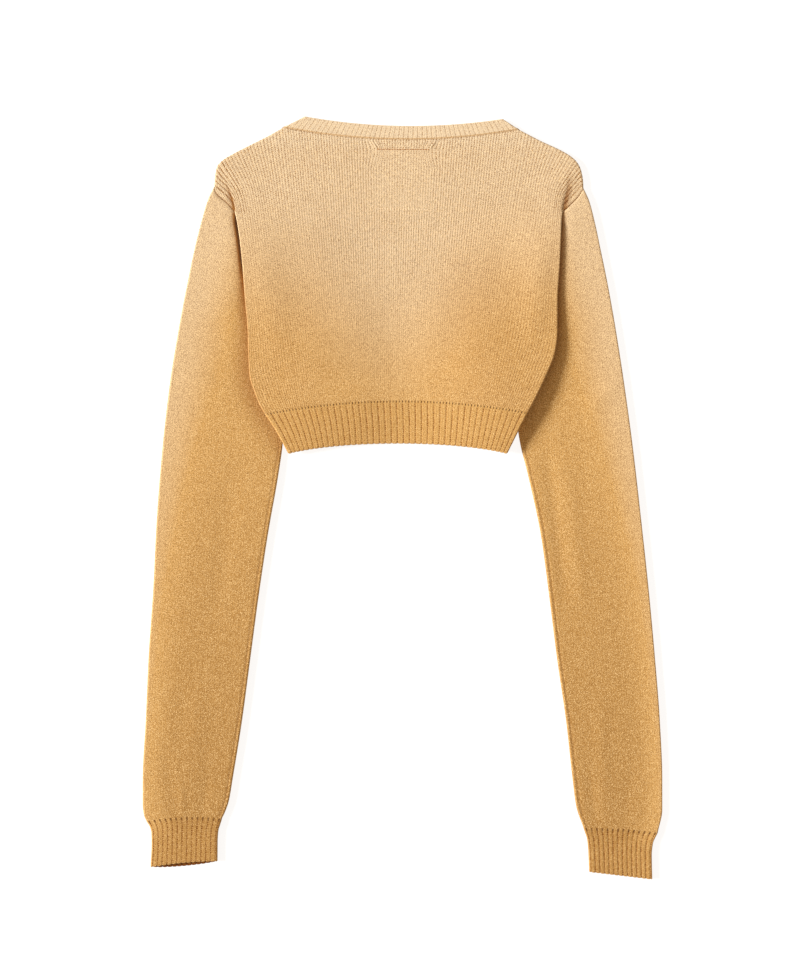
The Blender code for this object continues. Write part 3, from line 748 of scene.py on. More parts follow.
FADE_LEVEL = 244.0             # y at which the body's dye is half faded at the sides
FADE_DIP = 70.0                # how much lower that is in the middle of the dip
FADE_MIDDLE = -12.0            # x of that middle
FADE_HALF = 76.0               # half width of the dip
FADE_RIGHT = 14.0              # how much higher it is on the right
FADE_ABOVE = 105.0             # length over which the fade comes in above that level
FADE_BELOW = 95.0              # the same below it
FADE_LEAST = 0.04              # how faded the waist is
FADE_BIB = 0.82                # how much more faded the bib is
FADE_NECK = 0.14               # how much more again the edge of the neck is


def body_fade(places):
    """Dye on the body: faded in a wide bib from the shoulders to the middle."""
    x, y = places[:, :2].T
    level = FADE_LEVEL + FADE_RIGHT * rising(x, 20, 110) - FADE_DIP * bell(x, FADE_MIDDLE, FADE_HALF)
    bib = FADE_BIB * rising(y, level - FADE_BELOW, level + FADE_ABOVE)
    return FADE_LEAST + bib + FADE_NECK * rising(y, 362, 377)


def sleeve_fade(from_outer, y):
    """Dye on a sleeve: faded in a narrowing band down its outer edge, and deeper towards the cuff."""
    reach = np.interp(y, [-290, -225, -90, 45, 185, 260, 330], [34, 36, 44, 62, 82, 150, 420])
    peak = np.interp(y, [-400, -290, -90, 120, 330], [0.05, 0.08, 0.15, 0.50, 0.73])
    base = -np.interp(y, [-350, -292, -225, -91, 43, 150], [1.0, 0.95, 0.87, 0.62, 0.28, 0.05])
    return mix(base, peak, falling(from_outer, 0, reach))


# ---------------------------------------------------------------- materials


class Wire:
    """A value in a node tree; arithmetic on it adds Math nodes."""

    def __init__(self, loom, socket):
        self.loom = loom
        self.socket = socket

    def _math(self, operation, *values):
        return self.loom.add("ShaderNodeMath", {"operation": operation}, dict(enumerate(values)))

    def __add__(self, other):
        return self._math("ADD", self, other)

    def __radd__(self, other):
        return self._math("ADD", other, self)

    def __sub__(self, other):
        return self._math("SUBTRACT", self, other)

    def __rsub__(self, other):
        return self._math("SUBTRACT", other, self)

    def __mul__(self, other):
        return self._math("MULTIPLY", self, other)

    def __rmul__(self, other):
        return self._math("MULTIPLY", other, self)

    def __pow__(self, other):
        return self._math("POWER", self, other)

    def __abs__(self):
        return self._math("ABSOLUTE", self)

    def fraction(self):
        return self._math("FRACT", self)

    def clamped(self):
        return self.loom.add("ShaderNodeClamp", {}, {"Value": self})


class Loom:
    """Builds one material."""

    MIX_FACTOR, MIX_A, MIX_B, MIX_RESULT = 0, 6, 7, 2

    def __init__(self, name):
        self.material = bpy.data.materials.new(name)
        self.material.use_nodes = True
        self.tree = self.material.node_tree
        self.shader = self.tree.nodes["Principled BSDF"]

    def add(self, kind, settings, inputs, output=0):
        """A node of any kind; its settings come before the values or links of its sockets."""
        node = self.tree.nodes.new(kind)
        for name, value in settings.items():
            setattr(node, name, value)
        for key, value in inputs.items():
            self.feed(node.inputs[key], value)
        return Wire(self, node.outputs[output])

    def feed(self, socket, value):
        if isinstance(value, Wire):
            self.tree.links.new(value.socket, socket)
        elif isinstance(value, (int, float)):
            socket.default_value = value
        else:
            socket.default_value = (*value, 1.0) if len(socket.default_value) == 4 else tuple(value)

    def finish(self, inputs):
        """Values and links of the shader's own sockets."""
        for name, value in inputs.items():
            self.feed(self.shader.inputs[name], value)

    def blend(self, factor, low, high, how="MIX"):
        """One colour over another."""
        return self.add("ShaderNodeMix", {"data_type": "RGBA", "blend_type": how},
                        {self.MIX_FACTOR: factor, self.MIX_A: low, self.MIX_B: high}, self.MIX_RESULT)

    def attribute(self, name):
        return self.add("ShaderNodeAttribute", {"attribute_name": name}, {}, output="Fac")

    def noise(self, scale, detail=2.0, rough=0.5):
        """Noise from 0 to 1 in the piece's own space, turned so that no level face lies along its cells.

        scale is cells for each metre.
        """
        place = self.add("ShaderNodeTexCoord", {}, {}, output="Object")
        place = self.add("ShaderNodeMapping", {}, {"Vector": place, "Rotation": (0.6, 0.5, 0.4)})
        return self.add("ShaderNodeTexNoise", {}, {"Vector": place, "Scale": scale, "Detail": detail,
                                                   "Roughness": rough})

    def between(self, value, low, high):
        """The value spread from 0 at low to 1 at high, smoothly and without going past them."""
        return self.add("ShaderNodeMapRange", {"interpolation_type": "SMOOTHSTEP"},
                        {"Value": value, "From Min": low, "From Max": high})


ROUGHNESS = 0.95
SPECULAR = 0.2
SHEEN = 0.08
SHEEN_ROUGHNESS = 0.45
FUZZ = 1300.0                  # cells of the finest fuzz in one metre
FUZZ_MIDDLE = 0.50             # its usual level, from which fibres grow paler and darker
FIBRE_SPREAD = 0.20            # how far from that level a fibre has its full colour
HEATHER = 520.0                # cells of the heather that breaks up the grooves
MOTTLE = 45.0                  # cells of the uneven dye
WANDER = 120.0                 # cells in which the wales wander
LEG_SLOPE = 0.55               # how far a leg of a V-shaped stitch slopes, in courses


def wool(name, wales_a_line, groove, start, grain):
    """Wool knit: heathered yarn in rows of V-shaped stitches, paler where the dye has faded.

    wales_a_line: wales between one groove and the next. groove: how dark the painted shade in the grooves is.
    start: how far from the middle of a wale towards its groove the painted shade begins. grain: how
    clearly single fibres show.
    """
    yarn = bpy.context.scene.sweater_yarn
    knit = bpy.context.scene.sweater_knit
    loom = Loom(name)
    place = loom.add("ShaderNodeUVMap", {"uv_map": STITCHES}, {})
    wale = loom.add("ShaderNodeSeparateXYZ", {}, {"Vector": place}, output="X")
    course = loom.add("ShaderNodeSeparateXYZ", {}, {"Vector": place}, output="Y")
    ridge = loom.attribute(RIDGE)

    # The V-shaped stitches: side and line are 0 in the middle of a wale or rib and 1 in its groove.
    wander = loom.noise(WANDER) - 0.5
    side = abs((wale + 0.05 * wander).fraction() * 2.0 - 1.0)
    line = abs((wale * (1 / wales_a_line) + 0.03 * wander).fraction() * 2.0 - 1.0)
    leg = (course + 0.2 * wander - side * LEG_SLOPE).fraction()
    strand = 1.0 - abs(leg * 2.0 - 1.0) ** 2.0
    fuzz = loom.noise(FUZZ, detail=1.0, rough=0.6)
    heather = loom.noise(HEATHER, detail=1.0)
    mottle = loom.noise(MOTTLE, detail=2.0) - 0.5

    # The dye, then the fibres, then painted shade in the grooves, in the linked seams' holes and in the
    # crevices.
    fade = loom.attribute(FADE) + 0.10 * mottle
    colour = loom.blend(fade.clamped(), yarn.ochre, yarn.faded)
    colour = loom.blend((0.0 - fade).clamped(), colour, yarn.deep)
    for fibre, away in ((yarn.pale_fibre, FIBRE_SPREAD), (yarn.dark_fibre, -FIBRE_SPREAD)):
        colour = loom.blend(loom.between(fuzz, FUZZ_MIDDLE, FUZZ_MIDDLE + away) * grain, colour, fibre)
    broken = (loom.between(heather, 0.36, 0.62) * 1.3 + 0.4) * (1.0 - 0.85 * strand)
    # painted shade in the grooves between wales and ribs, broken up by the heather
    valley_shade = loom.between(line, start, 0.5 + 0.5 * start) * ridge * groove * broken
    colour = loom.blend(valley_shade.clamped(), colour, yarn.groove, "MULTIPLY")
    # painted shade inside the holes of the linked seams
    linked = loom.between(loom.attribute(SEAMS), 0.15, 0.45)
    hole = linked * loom.between(side, 0.5, 0.88) * (0.8 + 0.3 * line)
    # painted shade from the shade attribute: the groove tint first, then the darkest colour where the value
    # runs past 1
    shade = loom.attribute(SHADE) * 1.2
    colour = loom.blend(shade.clamped(), colour, yarn.groove, "MULTIPLY")
    colour = loom.blend(((shade - 1.0).clamped() + hole).clamped(), colour, yarn.hollow)

    height = (strand - side ** 2.0 * 0.6) * (0.15 + 0.2 * ridge) + fuzz
    bump = loom.add("ShaderNodeBump", {}, {"Height": height, "Distance": knit.stitch_bump, "Strength": 1.0})
    loom.finish({"Base Color": colour, "Roughness": ROUGHNESS, "Specular IOR Level": SPECULAR,
                 "Sheen Weight": SHEEN, "Sheen Roughness": SHEEN_ROUGHNESS, "Normal": bump})
    return loom.material


def plain_material(name, colour, roughness, glow=0.0):
    loom = Loom(name)
    loom.finish({"Base Color": tuple(colour), "Roughness": roughness,
                 "Emission Color": (1.0, 1.0, 1.0), "Emission Strength": glow})
    return loom.material


# wales_a_line, groove (how dark the painted shade in the grooves is), start and grain of each knit
KNITS = {
    "body_jersey": (1, 1.0, 0.58, 0.75),
    "band_rib": (2, 1.35, 0.76, 0.50),
    "cuff_rib": (1, 1.15, 0.60, 0.50),
}


def knit_material(name):
    """The material of one of the knits, made on its first use."""
    return bpy.data.materials.get(name) or wool(name, *KNITS[name])


# ---------------------------------------------------------------- pieces


def dress(piece, node, knit):
    """Finish a piece: its material, its place under the body, and the node that it stands for, which is
    hidden.
    """
    piece.data.materials.append(knit_material(knit))
    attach(piece, BODY)
    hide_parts(node)


def rows_of(*runs):
    """Shares down a piece in runs of even rows; each run is (start, end, rows with both ends)."""
    first, *others = [list(np.linspace(*run)) for run in runs]
    return first + [down for run in others for down in run[1:]]


def own_wale(wale, down):
    """The wales of a grid whose columns are counted in wales."""
    return wale


def even(amount):
    """A mark that is the same all over."""
    return lambda points, u, down, depth: np.full(len(down), amount)


def body_dye(points, u, down, depth):
    return body_fade(points)


def side_reach(points, table):
    """How far each place is outside the fold of a side of the body."""
    upwards = table[::-1]
    fold = np.interp(points[:, 1], [s.y for s in upwards], [s.fold for s in upwards])
    return (points[:, 0] - fold) * np.sign(fold)


# Painted shade in the strip outside a pleat's crease: how dark, up to which y, how wide and how squarely it
# ends, how far inside the crease it starts, and how dark the painted shade on the step's own slope is.
Pleat = namedtuple("Pleat", "dark top width power start slope")
LEFT_PLEAT = Pleat(0.74, 337.0, 4.0, 2, 0.9, 0.60)
RIGHT_PLEAT = Pleat(0.74, 345.0, 6.0, 4, 0.0, 0.0)
PLEAT_FOOT = 297.0, 301.0      # y over which the strips begin
PLEAT_FADE = 32.0              # length over which they end
LABEL_X = 0.9                  # middle of the label's place
PINCH = 4.5                    # how far its upper stitches draw the knit in at each end
# Painted shade on the lower left edge of the back, which dims its bright rim where it faces the low light
RIM_SHADE = 0.45                # tint of the lower left edge, which faces the low light
# Painted shade over a broad patch at the right of the back, between y 100 and 280
RIGHT_PATCH_SHADE = 0.10             # tint of the shallow hollow at the right
SEWN_DARK = 0.5                # tint of the neck's seam
TOP_ROWS = (0.0, 0.35, 0.9, 1.7, 3.2)      # millimetres below a folded top edge
PANEL_ROWS = 140


def make_back_panel():
    """The back, with painted shade along its creases and the pinched knit round the label's place."""
    knit = bpy.context.scene.sweater_knit
    body = Body()
    panel = Panel(back_neck, knit.neck_wales / knit.back_wales)
    count = knit.back_wales
    columns = np.arange(4 * count + 1) / 4
    close = [depth / PANEL_LENGTH for depth in TOP_ROWS]
    shares = close + rows_of((close[-1], 1.0, PANEL_ROWS))[1:]
    rows = turned(shares, PANEL_LENGTH, turn=0.4, inside=3.0, top=False)

    def where(wale, down):
        """Places on the panel, with the wales drawn in beside the ends of the label's upper stitches."""
        places = panel.place(spread(wale, count), down)
        beside = places[:, 0] - LABEL_X
        near = bell(np.abs(beside), 31, 9)
        near *= falling(places[:, 1], 365.5, 374.5) * rising(places[:, 1], 343, 363)
        places[:, 0] -= PINCH * np.sign(beside) * near
        return places

    def skin(wale, down):
        return body.back(where(wale, down))

    def clear(places):
        """How clearly the wales show: most at the shoulders, least at the middle of the waist."""
        x, y = np.abs(places[:, 0]), places[:, 1]
        middle = np.interp(y, [120, 175, 240, 285], [0.25, 0.35, 0.85, 1.0])
        side = np.interp(y, [100, 150, 230, 265, 300, 340], [0.8, 0.7, 0.5, 0.5, 0.7, 0.9])
        label = falling(x, 28, 34) * rising(y, 298, 304) * falling(y, 364, 368)
        return mix(middle, side, rising(x, 60, 130)) * (1 - 0.35 * label)

    def relief(wale, down):
        raised = knit.wale_raise / MM
        return raised * profile(wale, WALE_POWER) * clear(where(wale, down)) * rising(down, 0, 0.004)

    def ridge(points, wale, down, depth):
        near_side = falling(np.minimum(wale, count - wale), BROAD, BROAD + 2)
        return clear(points) + 0.9 * near_side * rising(points[:, 1], 294, 304)

    def strips(points, wale):
        """The dark seam lines along the armholes, and painted shade in strips along the pleats' creases."""
        y = points[:, 1]
        # the dark seam line at each armhole's edge
        dark = 0.5 * falling(np.minimum(wale, count - wale), 0, 0.4)
        for table, pleat in ((LEFT_BODY, LEFT_PLEAT), (RIGHT_BODY, RIGHT_PLEAT)):
            far = side_reach(points, table)
            outside = np.exp(-(np.maximum(far, 0) / pleat.width) ** pleat.power)
            # painted shade outside each pleat's crease
            strip = pleat.dark * rising(far, -pleat.start, 1.2 - pleat.start) * outside
            # painted shade on the step's slope, which faces the low light
            strip += pleat.slope * bell(far, 0.4, 1)
            dark += strip * falling(y, pleat.top - PLEAT_FADE, pleat.top)
        return dark * rising(y, *PLEAT_FOOT)

    def shade(points, wale, down, depth):
        x, y = points[:, :2].T
        from_edge, _ = body.edge(points[:, :2])
        # painted shade on the lower left rim, which faces the low light
        rim = RIM_SHADE * falling(from_edge, 0, 1.8) * (x < 0) * falling(y, 180, 250)
        # painted shade over a broad patch at the right of the back
        hollow = RIGHT_PATCH_SHADE * bell(x, 78, 45) * falling(y, 200, 280) * rising(y, 60, 100)
        at_neck = (wale > panel.corner * count) & (wale < (1 - panel.corner) * count)
        loops = 0.6 + 0.4 * np.cos(2 * math.pi * wale / 1.5)
        sewn = SEWN_DARK * falling(down * PANEL_LENGTH, 0.5, 1.6) * loops * at_neck
        return strips(points, wale) + rim + hollow + sewn

    marks = {FADE: body_dye, RIDGE: ridge, SHADE: shade}
    return knit_grid("back_panel_cloth", columns, rows, PANEL_LENGTH, skin, own_wale, marks, relief)


def make_front_panel():
    """The front, which lies underneath and has no relief."""
    knit = bpy.context.scene.sweater_knit
    body = Body()
    panel = Panel(front_neck, knit.neck_wales / knit.back_wales)
    count = knit.back_wales
    side = np.arange(0, 2, 0.25)
    columns = np.concatenate([side, np.arange(2, count - 1), count - side[::-1]])
    rows = turned(rows_of((0, 1, 90)), PANEL_LENGTH, turn=0.4, inside=3.0)

    def skin(wale, down):
        return body.front(panel.place(spread(wale, count), down))

    marks = {FADE: body_dye, RIDGE: even(0.8)}
    return knit_grid("front_panel_cloth", columns, rows, PANEL_LENGTH, skin, own_wale, marks)


def make_waistband(name, layer, base):
    """One layer of the waistband.

    base: 0 where the ribs stand up from the layer's skin, -1 where the grooves sink into it.
    """
    knit = bpy.context.scene.sweater_knit
    count = knit.waist_ribs
    columns = np.arange(8 * count + 1) / 8
    rows = turned(rows_of((0, 0.1, 6), (0.1, 1, 24)), WAISTBAND_LENGTH, turn=0.7, inside=4.0)

    def skin(rib, down):
        return layer(waistband_place(rib / count, scalloped(rib, down)))

    def relief(rib, down):
        return knit.rib_raise / MM * (profile(rib, RIB_POWER) + base) * rising(down, 0.04, 0.09)

    def wales(rib, down):
        return rib * 2

    def seams(points, rib, down, depth):
        return falling(down, 0.02, 0.06) * (depth < 0.3)

    def side_seam(points, rib, down, depth):
        return 0.35 * bell(np.minimum(rib, count - rib), 1, 0.09)

    def ridge(points, rib, down, depth):
        return rising(down, 0.04, 0.09)

    marks = {FADE: even(-0.2), RIDGE: ridge, SEAMS: seams, SHADE: side_seam}
    return knit_grid(name + "_cloth", columns, rows, WAISTBAND_LENGTH, skin, wales, marks, relief)


def make_neckband(name, layer, seam, edge, count, length, base):
    """One layer of the neckband, between its seam and its upper edge; base as on the waistband."""
    knit = bpy.context.scene.sweater_knit
    columns = np.arange(8 * count + 1) / 8
    rows = turned([0, 0.02, 0.05, 0.1, 0.2, 0.35, 0.5, 0.65, 0.8, 0.9, 1.0], length, turn=0.6, inside=2.5)
    start, end = seam(np.array([0.0, 1.0]))[:, 0]

    def skin(rib, down):
        return layer(neckband_place(rib / count, down, seam, edge))

    def upright(rib, down):
        """The rib that a place is on: the ribs lean half as far as the band's ends do."""
        x = neckband_place(rib / count, down, seam, edge)[:, 0]
        return mix(rib, (x - start) / (end - start) * count, 0.5)

    def relief(rib, down):
        return knit.rib_raise / MM * 0.5 * (profile(upright(rib, down), RIB_POWER) + base)

    def wales(rib, down):
        return upright(rib, down) * 2

    def dye(points, rib, down, depth):
        return body_fade(points) * (1 - 0.7 * rising(down, 0.88, 1))

    def seam_line(points, rib, down, depth):
        return 0.12 * rising(down, 0.93, 1)

    marks = {FADE: dye, RIDGE: even(0.6), SHADE: seam_line}
    return knit_grid(name + "_cloth", columns, rows, length, skin, wales, marks, relief)


def back_band_edge(part):
    return arch(part, LEFT_BAND_TOP, RIGHT_BAND_TOP, -BAND_DIP)


def front_band_edge(part):
    return scoop(part, LEFT_BAND_TOP, RIGHT_BAND_TOP, FRONT_BAND_DROP)


# Painted shade and painted shadow on a sleeve where the body's edge lies on it: how dark, how wide and how
# deep the crevice is at each y, and how far the sleeve swells up beside it.
Crevice = namedtuple("Crevice", "y dark width deep swell")
LEFT_CREVICE = [
    Crevice(45.0, 0.30, 13.0, 1.0, 0.0),
    Crevice(113.0, 0.38, 13.0, 1.2, 0.1),
    Crevice(165.0, 0.46, 9.0, 1.1, 0.4),
    Crevice(200.0, 0.62, 6.5, 1.2, 0.8),
    Crevice(228.0, 0.92, 4.6, 1.2, 1.0),
    Crevice(255.0, 2.2, 3.3, 1.1, 0.9),
    Crevice(288.0, 2.5, 3.4, 0.9, 0.9),
    Crevice(299.0, 0.7, 2.8, 0.6, 0.6),
    Crevice(306.0, 0.0, 2.4, 0.0, 0.0),
]
RIGHT_CREVICE = [
    Crevice(45.0, 0.05, 9.0, 2.0, 0.0),
    Crevice(105.0, 0.08, 9.0, 2.2, 0.0),
    Crevice(160.0, 0.35, 7.0, 1.2, 0.3),
    Crevice(238.0, 0.65, 4.5, 0.7, 0.7),
    Crevice(285.0, 0.75, 4.0, 0.5, 0.8),
    Crevice(299.0, 0.6, 3.0, 0.4, 0.6),
    Crevice(306.0, 0.0, 2.4, 0.0, 0.0),
]
SWELL_WIDTH = 30.0             # how far from the body's edge that swell reaches
UNDERARM = 3.8                 # how far in from a sleeve's inner edge its seam runs
# Painted shade on the rounded edge of a sleeve or cuff that faces the low light
TUBE_RIM_SHADE = 0.18           # tint of the rounded edge that faces the low light
SLEEVE_ROWS = 230
# Columns of a sleeve close to its edges, as shares of the way round.
CLOSE = np.array([0.0, 0.005, 0.010, 0.015, 0.019, 0.023, 0.027, 0.031, 0.036, 0.042])


def crevice(body, table, places):
    """How much painted shade and shadow each place on a sleeve gets, and how far it dips, where the body lies
    on it.
    """
    far, _ = body.edge(places)
    levels, *facts = zip(*table)
    dark, width, deep, swell = [np.interp(places[:, 1], levels, fact) for fact in facts]
    dip = deep * bell(far, 0, width + 3) - swell * bell(far, 0, SWELL_WIDTH)
    return dark * bell(far, 0, width), dip


def rim_shade(tube, round_it, down):
    """Painted shade on the rounded edge that faces the low light, which dims its bright rim."""
    _, _, from_outer, from_inner = tube.skin(round_it, down)
    from_left = from_outer if tube.rings[0, 0] < 0 else from_inner
    return TUBE_RIM_SHADE * falling(from_left, 0, 1.6)


def make_sleeve(name, rings, armhole, crevices):
    """A sleeve pressed flat, from under the body's armhole to the cuff."""
    knit = bpy.context.scene.sweater_knit
    tube = Tube(rings, armhole, SLEEVE_FOLDS)
    body = Body()
    half = np.concatenate([CLOSE, np.linspace(0.052, 0.448, 62), 0.5 - CLOSE[::-1]])
    columns = np.concatenate([half, (1 - half[::-1])[1:]])
    allowance = [Row(0.0, 2.2, 1.4), Row(0.0, 0.6, 0.35)]      # what is tucked in under the armhole
    rows = allowance + turned(rows_of((0, 1, SLEEVE_ROWS)), tube.length, turn=0.4, inside=4.0, top=False)

    def underarm(from_inner, y):
        """The seam that runs down inside the sleeve's inner edge."""
        return bell(from_inner, UNDERARM, 0.8) * falling(y, 30, 90)

    def skin(round_it, down):
        points, facing, _, from_inner = tube.skin(round_it, down)
        dip = crevice(body, crevices, points[:, :2])[1] + 0.35 * underarm(from_inner, points[:, 1])
        points[:, 2] -= np.where(round_it > 0.5, 0.0, dip * np.clip(facing[:, 2], 0, 1))
        return points, facing

    def wales(round_it, down):
        from_outer = tube.skin(round_it, down)[2]
        return from_outer * MM / knit.wale * np.where(round_it > 0.5, -1, 1)

    def dye(points, round_it, down, depth):
        return sleeve_fade(tube.skin(round_it, down)[2], points[:, 1])

    def shade(points, round_it, down, depth):
        # painted shade and shadow beside the body's edge, the dark underarm seam, and painted shade on the
        # rim that faces the low light
        dark = crevice(body, crevices, points[:, :2])[0]
        seam = 0.3 * underarm(tube.skin(round_it, down)[3], points[:, 1])
        return np.where(round_it > 0.5, 0.0, dark + seam + rim_shade(tube, round_it, down))

    marks = {FADE: dye, RIDGE: even(0.12), SHADE: shade}
    return knit_grid(name + "_cloth", columns, rows, tube.length, skin, wales, marks, closed=True)


def make_cuff(name, rings, lip):
    """A ribbed cuff pressed flat; lip is how much further its lower layer reaches."""
    knit = bpy.context.scene.sweater_knit
    tube = Tube(rings, lip=lip)
    ribs_round = 2 * knit.cuff_ribs
    columns = np.arange(8 * ribs_round + 1) / (8 * ribs_round)
    rows = turned(rows_of((0, 0.12, 7), (0.12, 1, 24)), tube.length, turn=0.7, inside=4.0)

    def skin(round_it, down):
        return tube.skin(round_it, scalloped(round_it * ribs_round, down))[:2]

    def relief(round_it, down):
        base = np.where(round_it > 0.5, -1.0, 0.0)
        ribs = profile(round_it * ribs_round, RIB_POWER)
        return knit.rib_raise / MM * (ribs + base) * rising(down, 0, 0.04)

    def wales(round_it, down):
        return round_it * ribs_round

    def dye(points, round_it, down, depth):
        full = sleeve_fade(tube.skin(round_it, down)[2], points[:, 1])
        return mix(full, -0.75, 0.7 * rising(down, 0, 0.5))

    def seams(points, round_it, down, depth):
        return 0.32 * falling(down, 0.04, 0.1) * (depth < 0.3)

    def shade(points, round_it, down, depth):
        """Painted shade inside the cuff's opening, and painted shade outside on the rim that faces the low
        light.
        """
        return np.where(round_it > 0.5, 0.85 * rising(depth, 0.2, 1), rim_shade(tube, round_it, down))

    marks = {FADE: dye, RIDGE: even(1.0), SEAMS: seams, SHADE: shade}
    return knit_grid(name + "_cloth", columns, rows, tube.length, skin, wales, marks, relief, closed=True)


STITCH_LENGTH = 2.3
STITCH_PITCH = 2.75
STITCH_RADIUS = 0.42
STITCH_FLAT = 0.8              # its height as a share of its width
STITCH_LIFT = 0.15             # how far its middle lies above the wales


def make_stitches(name, start, end, material):
    """A row of short sewing stitches on the back panel, from one end to the other."""
    start, end = np.array(start), np.array(end)
    run = unit((end - start)[None])[0]
    count = int(np.linalg.norm(end - start) / STITCH_PITCH)
    points, _ = Body().back(start + np.outer(np.arange(count) + 0.5, run) * STITCH_PITCH)
    lift = bpy.context.scene.sweater_knit.wale_raise / MM + STITCH_LIFT
    shape = bmesh.new()
    for point in points:
        made = bmesh.ops.create_uvsphere(shape, u_segments=8, v_segments=6, radius=STITCH_RADIUS * MM)
        bmesh.ops.scale(shape, vec=(STITCH_LENGTH / 2 / STITCH_RADIUS, 1.0, STITCH_FLAT), verts=made["verts"])
        bmesh.ops.translate(shape, vec=(point + np.array([0, 0, lift])) * MM, verts=made["verts"])
    piece = mesh_object(name, shape)
    piece.data.materials.append(material)
    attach(piece, BODY)


# ---------------------------------------------------------------- operators


class SWEATER_OT_panels(bpy.types.Operator):
    """Knit the back and front panels"""
    bl_idname = "sweater.panels"
    bl_label = "Panels"

    def execute(self, context):
        dress(make_back_panel(), "back_panel", "body_jersey")
        dress(make_front_panel(), "front_panel", "body_jersey")
        return {"FINISHED"}


class SWEATER_OT_sleeves(bpy.types.Operator):
    """Knit the two sleeves"""
    bl_idname = "sweater.sleeves"
    bl_label = "Sleeves"

    def execute(self, context):
        for name, *facts in (("left_sleeve", LEFT_SLEEVE, LEFT_ARMHOLE, LEFT_CREVICE),
                             ("right_sleeve", RIGHT_SLEEVE, RIGHT_ARMHOLE, RIGHT_CREVICE)):
            dress(make_sleeve(name, *facts), name, "body_jersey")
        return {"FINISHED"}


class SWEATER_OT_waistband(bpy.types.Operator):
    """Knit the ribbed waistband, back and front"""
    bl_idname = "sweater.waistband"
    bl_label = "Waistband"

    def execute(self, context):
        body = Body()
        for name, layer, base, rests_on in (
                ("back_waistband", body.back, 0.0, ["front_waistband"]),
                ("front_waistband", body.front, -1.0, ["left_sleeve", "right_sleeve"])):
            dress(make_waistband(name, layer, base), name, "band_rib")
        return {"FINISHED"}


class SWEATER_OT_neckband(bpy.types.Operator):
    """Knit the ribbed neckband, back and front"""
    bl_idname = "sweater.neckband"
    bl_label = "Neckband"

    FRONT_MORE = 10            # ribs that the front has more than the back

    def execute(self, context):
        ribs = context.scene.sweater_knit.neck_ribs
        body = Body()
        back = make_neckband("back_neckband", body.back, back_neck, back_band_edge,
                             count=ribs, length=15.0, base=0.0)
        front = make_neckband("front_neckband", body.front, front_neck, front_band_edge,
                              count=ribs + self.FRONT_MORE, length=14.0, base=-1.0)
        dress(back, "back_neckband", "band_rib")
        dress(front, "front_neckband", "band_rib")
        return {"FINISHED"}


class SWEATER_OT_cuffs(bpy.types.Operator):
    """Knit the two ribbed cuffs"""
    bl_idname = "sweater.cuffs"
    bl_label = "Cuffs"

    def execute(self, context):
        for name, sleeve, cuff, lip in (("left_cuff", LEFT_SLEEVE, LEFT_CUFF, CUFF_LIP),
                                        ("right_cuff", RIGHT_SLEEVE, RIGHT_CUFF, 0.0)):
            dress(make_cuff(name, cuff_rings(sleeve, cuff), lip), name, "cuff_rib")
        return {"FINISHED"}


class SWEATER_OT_stitches(bpy.types.Operator):
    """Sew the two rows of stitches that hold the label's place"""
    bl_idname = "sweater.stitches"
    bl_label = "Stitches"

    def execute(self, context):
        yarn = context.scene.sweater_yarn
        make_stitches("upper_stitches", (-26.6, 364.9), (28.4, 364.6),
                      plain_material("dark_thread", yarn.thread, 0.7))
        make_stitches("lower_stitches", (-24.7, 302.6), (30.0, 301.8),
                      plain_material("pale_thread", yarn.pale_thread, 0.8))
        return {"FINISHED"}


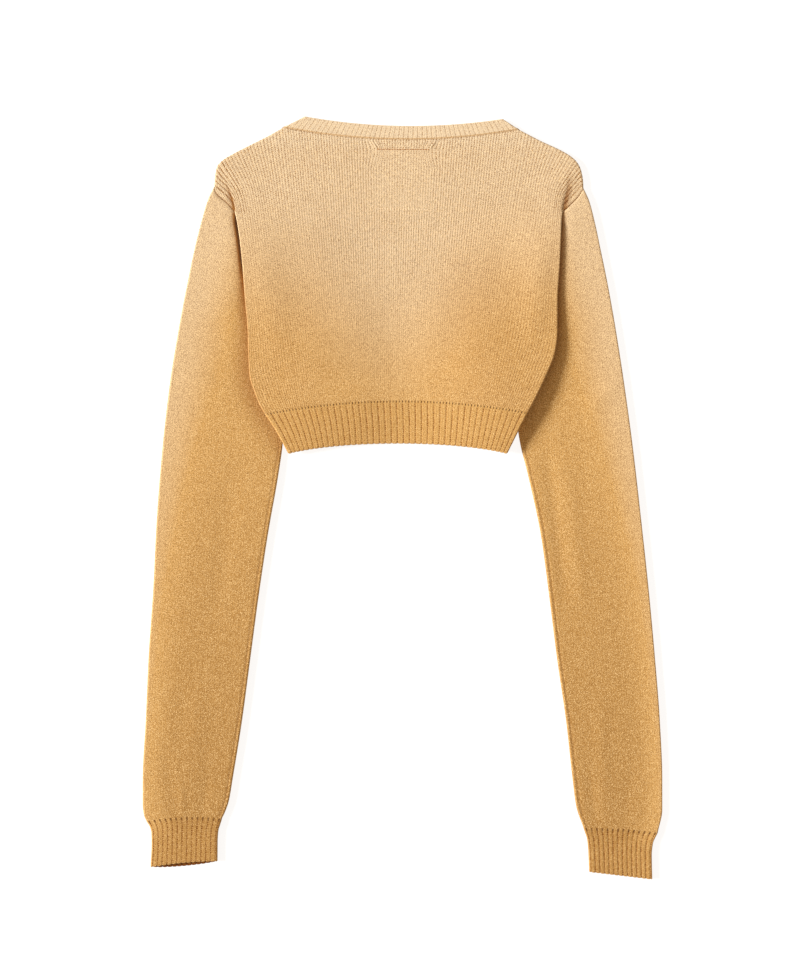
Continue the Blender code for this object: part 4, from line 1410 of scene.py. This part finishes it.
class SWEATER_OT_stage(bpy.types.Operator):
    """Set the floor, the lights and the camera"""
    bl_idname = "sweater.stage"
    bl_label = "Stage"

    FLOOR_SIZE = 12.0
    SENSOR_WIDTH = 36.0
    LAMP_AWAY = 3.0

    def execute(self, context):
        stage = context.scene.sweater_stage
        self.floor(stage)
        self.key(stage)
        world = bpy.data.worlds.new("studio")
        world.use_nodes = True
        background = world.node_tree.nodes["Background"]
        background.inputs["Color"].default_value = (*stage.fill, 1.0)
        background.inputs["Strength"].default_value = stage.sky
        context.scene.world = world
        camera = bpy.data.objects.new("camera", bpy.data.cameras.new("camera"))
        camera.data.lens = stage.lens
        camera.data.sensor_width = self.SENSOR_WIDTH
        camera.location = (stage.centre_x, stage.centre_y, stage.height)
        context.scene.collection.objects.link(camera)
        context.scene.camera = camera
        context.scene.view_settings.view_transform = "Standard"
        return {"FINISHED"}

    def floor(self, stage):
        shape = bmesh.new()
        bmesh.ops.create_grid(shape, x_segments=1, y_segments=1, size=self.FLOOR_SIZE / 2)
        floor = mesh_object("floor", shape)
        floor.data.materials.append(plain_material("sheet", stage.floor, 0.9, stage.glow))

    def key(self, stage):
        lamp = bpy.data.lights.new("key_light", "SUN")
        lamp.energy = stage.key
        lamp.angle = stage.softness
        light = bpy.data.objects.new("key_light", lamp)
        bpy.context.scene.collection.objects.link(light)
        level = math.cos(stage.rise)
        towards = Vector((-level * math.cos(stage.turn), level * math.sin(stage.turn), math.sin(stage.rise)))
        light.location = towards * self.LAMP_AWAY
        light.rotation_euler = towards.to_track_quat("Z", "Y").to_euler()


class SWEATER_PT_panel(bpy.types.Panel):
    """Builds the sweater and its stage, with their sizes and colours"""
    bl_label = "Cropped knit sweater"
    bl_idname = "SWEATER_PT_panel"
    bl_space_type = "VIEW_3D"
    bl_region_type = "UI"
    bl_category = "Sweater"

    def draw(self, context):
        for operator in OPERATORS:
            self.layout.operator(operator.bl_idname)
        for group in (context.scene.sweater_knit, context.scene.sweater_yarn, context.scene.sweater_stage):
            box = self.layout.box()
            for name in group.__annotations__:
                box.prop(group, name)


OPERATORS = (
    SWEATER_OT_panels, SWEATER_OT_sleeves, SWEATER_OT_waistband, SWEATER_OT_neckband,
    SWEATER_OT_cuffs, SWEATER_OT_stitches, SWEATER_OT_stage,
)
SETTINGS = {"sweater_knit": SweaterKnit, "sweater_yarn": SweaterYarn, "sweater_stage": SweaterStage}


def register():
    for kind in (*SETTINGS.values(), *OPERATORS, SWEATER_PT_panel):
        bpy.utils.register_class(kind)
    for name, kind in SETTINGS.items():
        setattr(bpy.types.Scene, name, PointerProperty(type=kind))


def unregister():
    for name in SETTINGS:
        delattr(bpy.types.Scene, name)
    for kind in (SWEATER_PT_panel, *OPERATORS[::-1], *SETTINGS.values()):
        bpy.utils.unregister_class(kind)


def main():
    register()
    bpy.ops.sweater.panels()
    bpy.ops.sweater.sleeves()
    bpy.ops.sweater.waistband()
    bpy.ops.sweater.neckband()
    bpy.ops.sweater.cuffs()
    bpy.ops.sweater.stitches()
    bpy.ops.sweater.stage()
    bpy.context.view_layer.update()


if __name__ == "__main__":
    main()
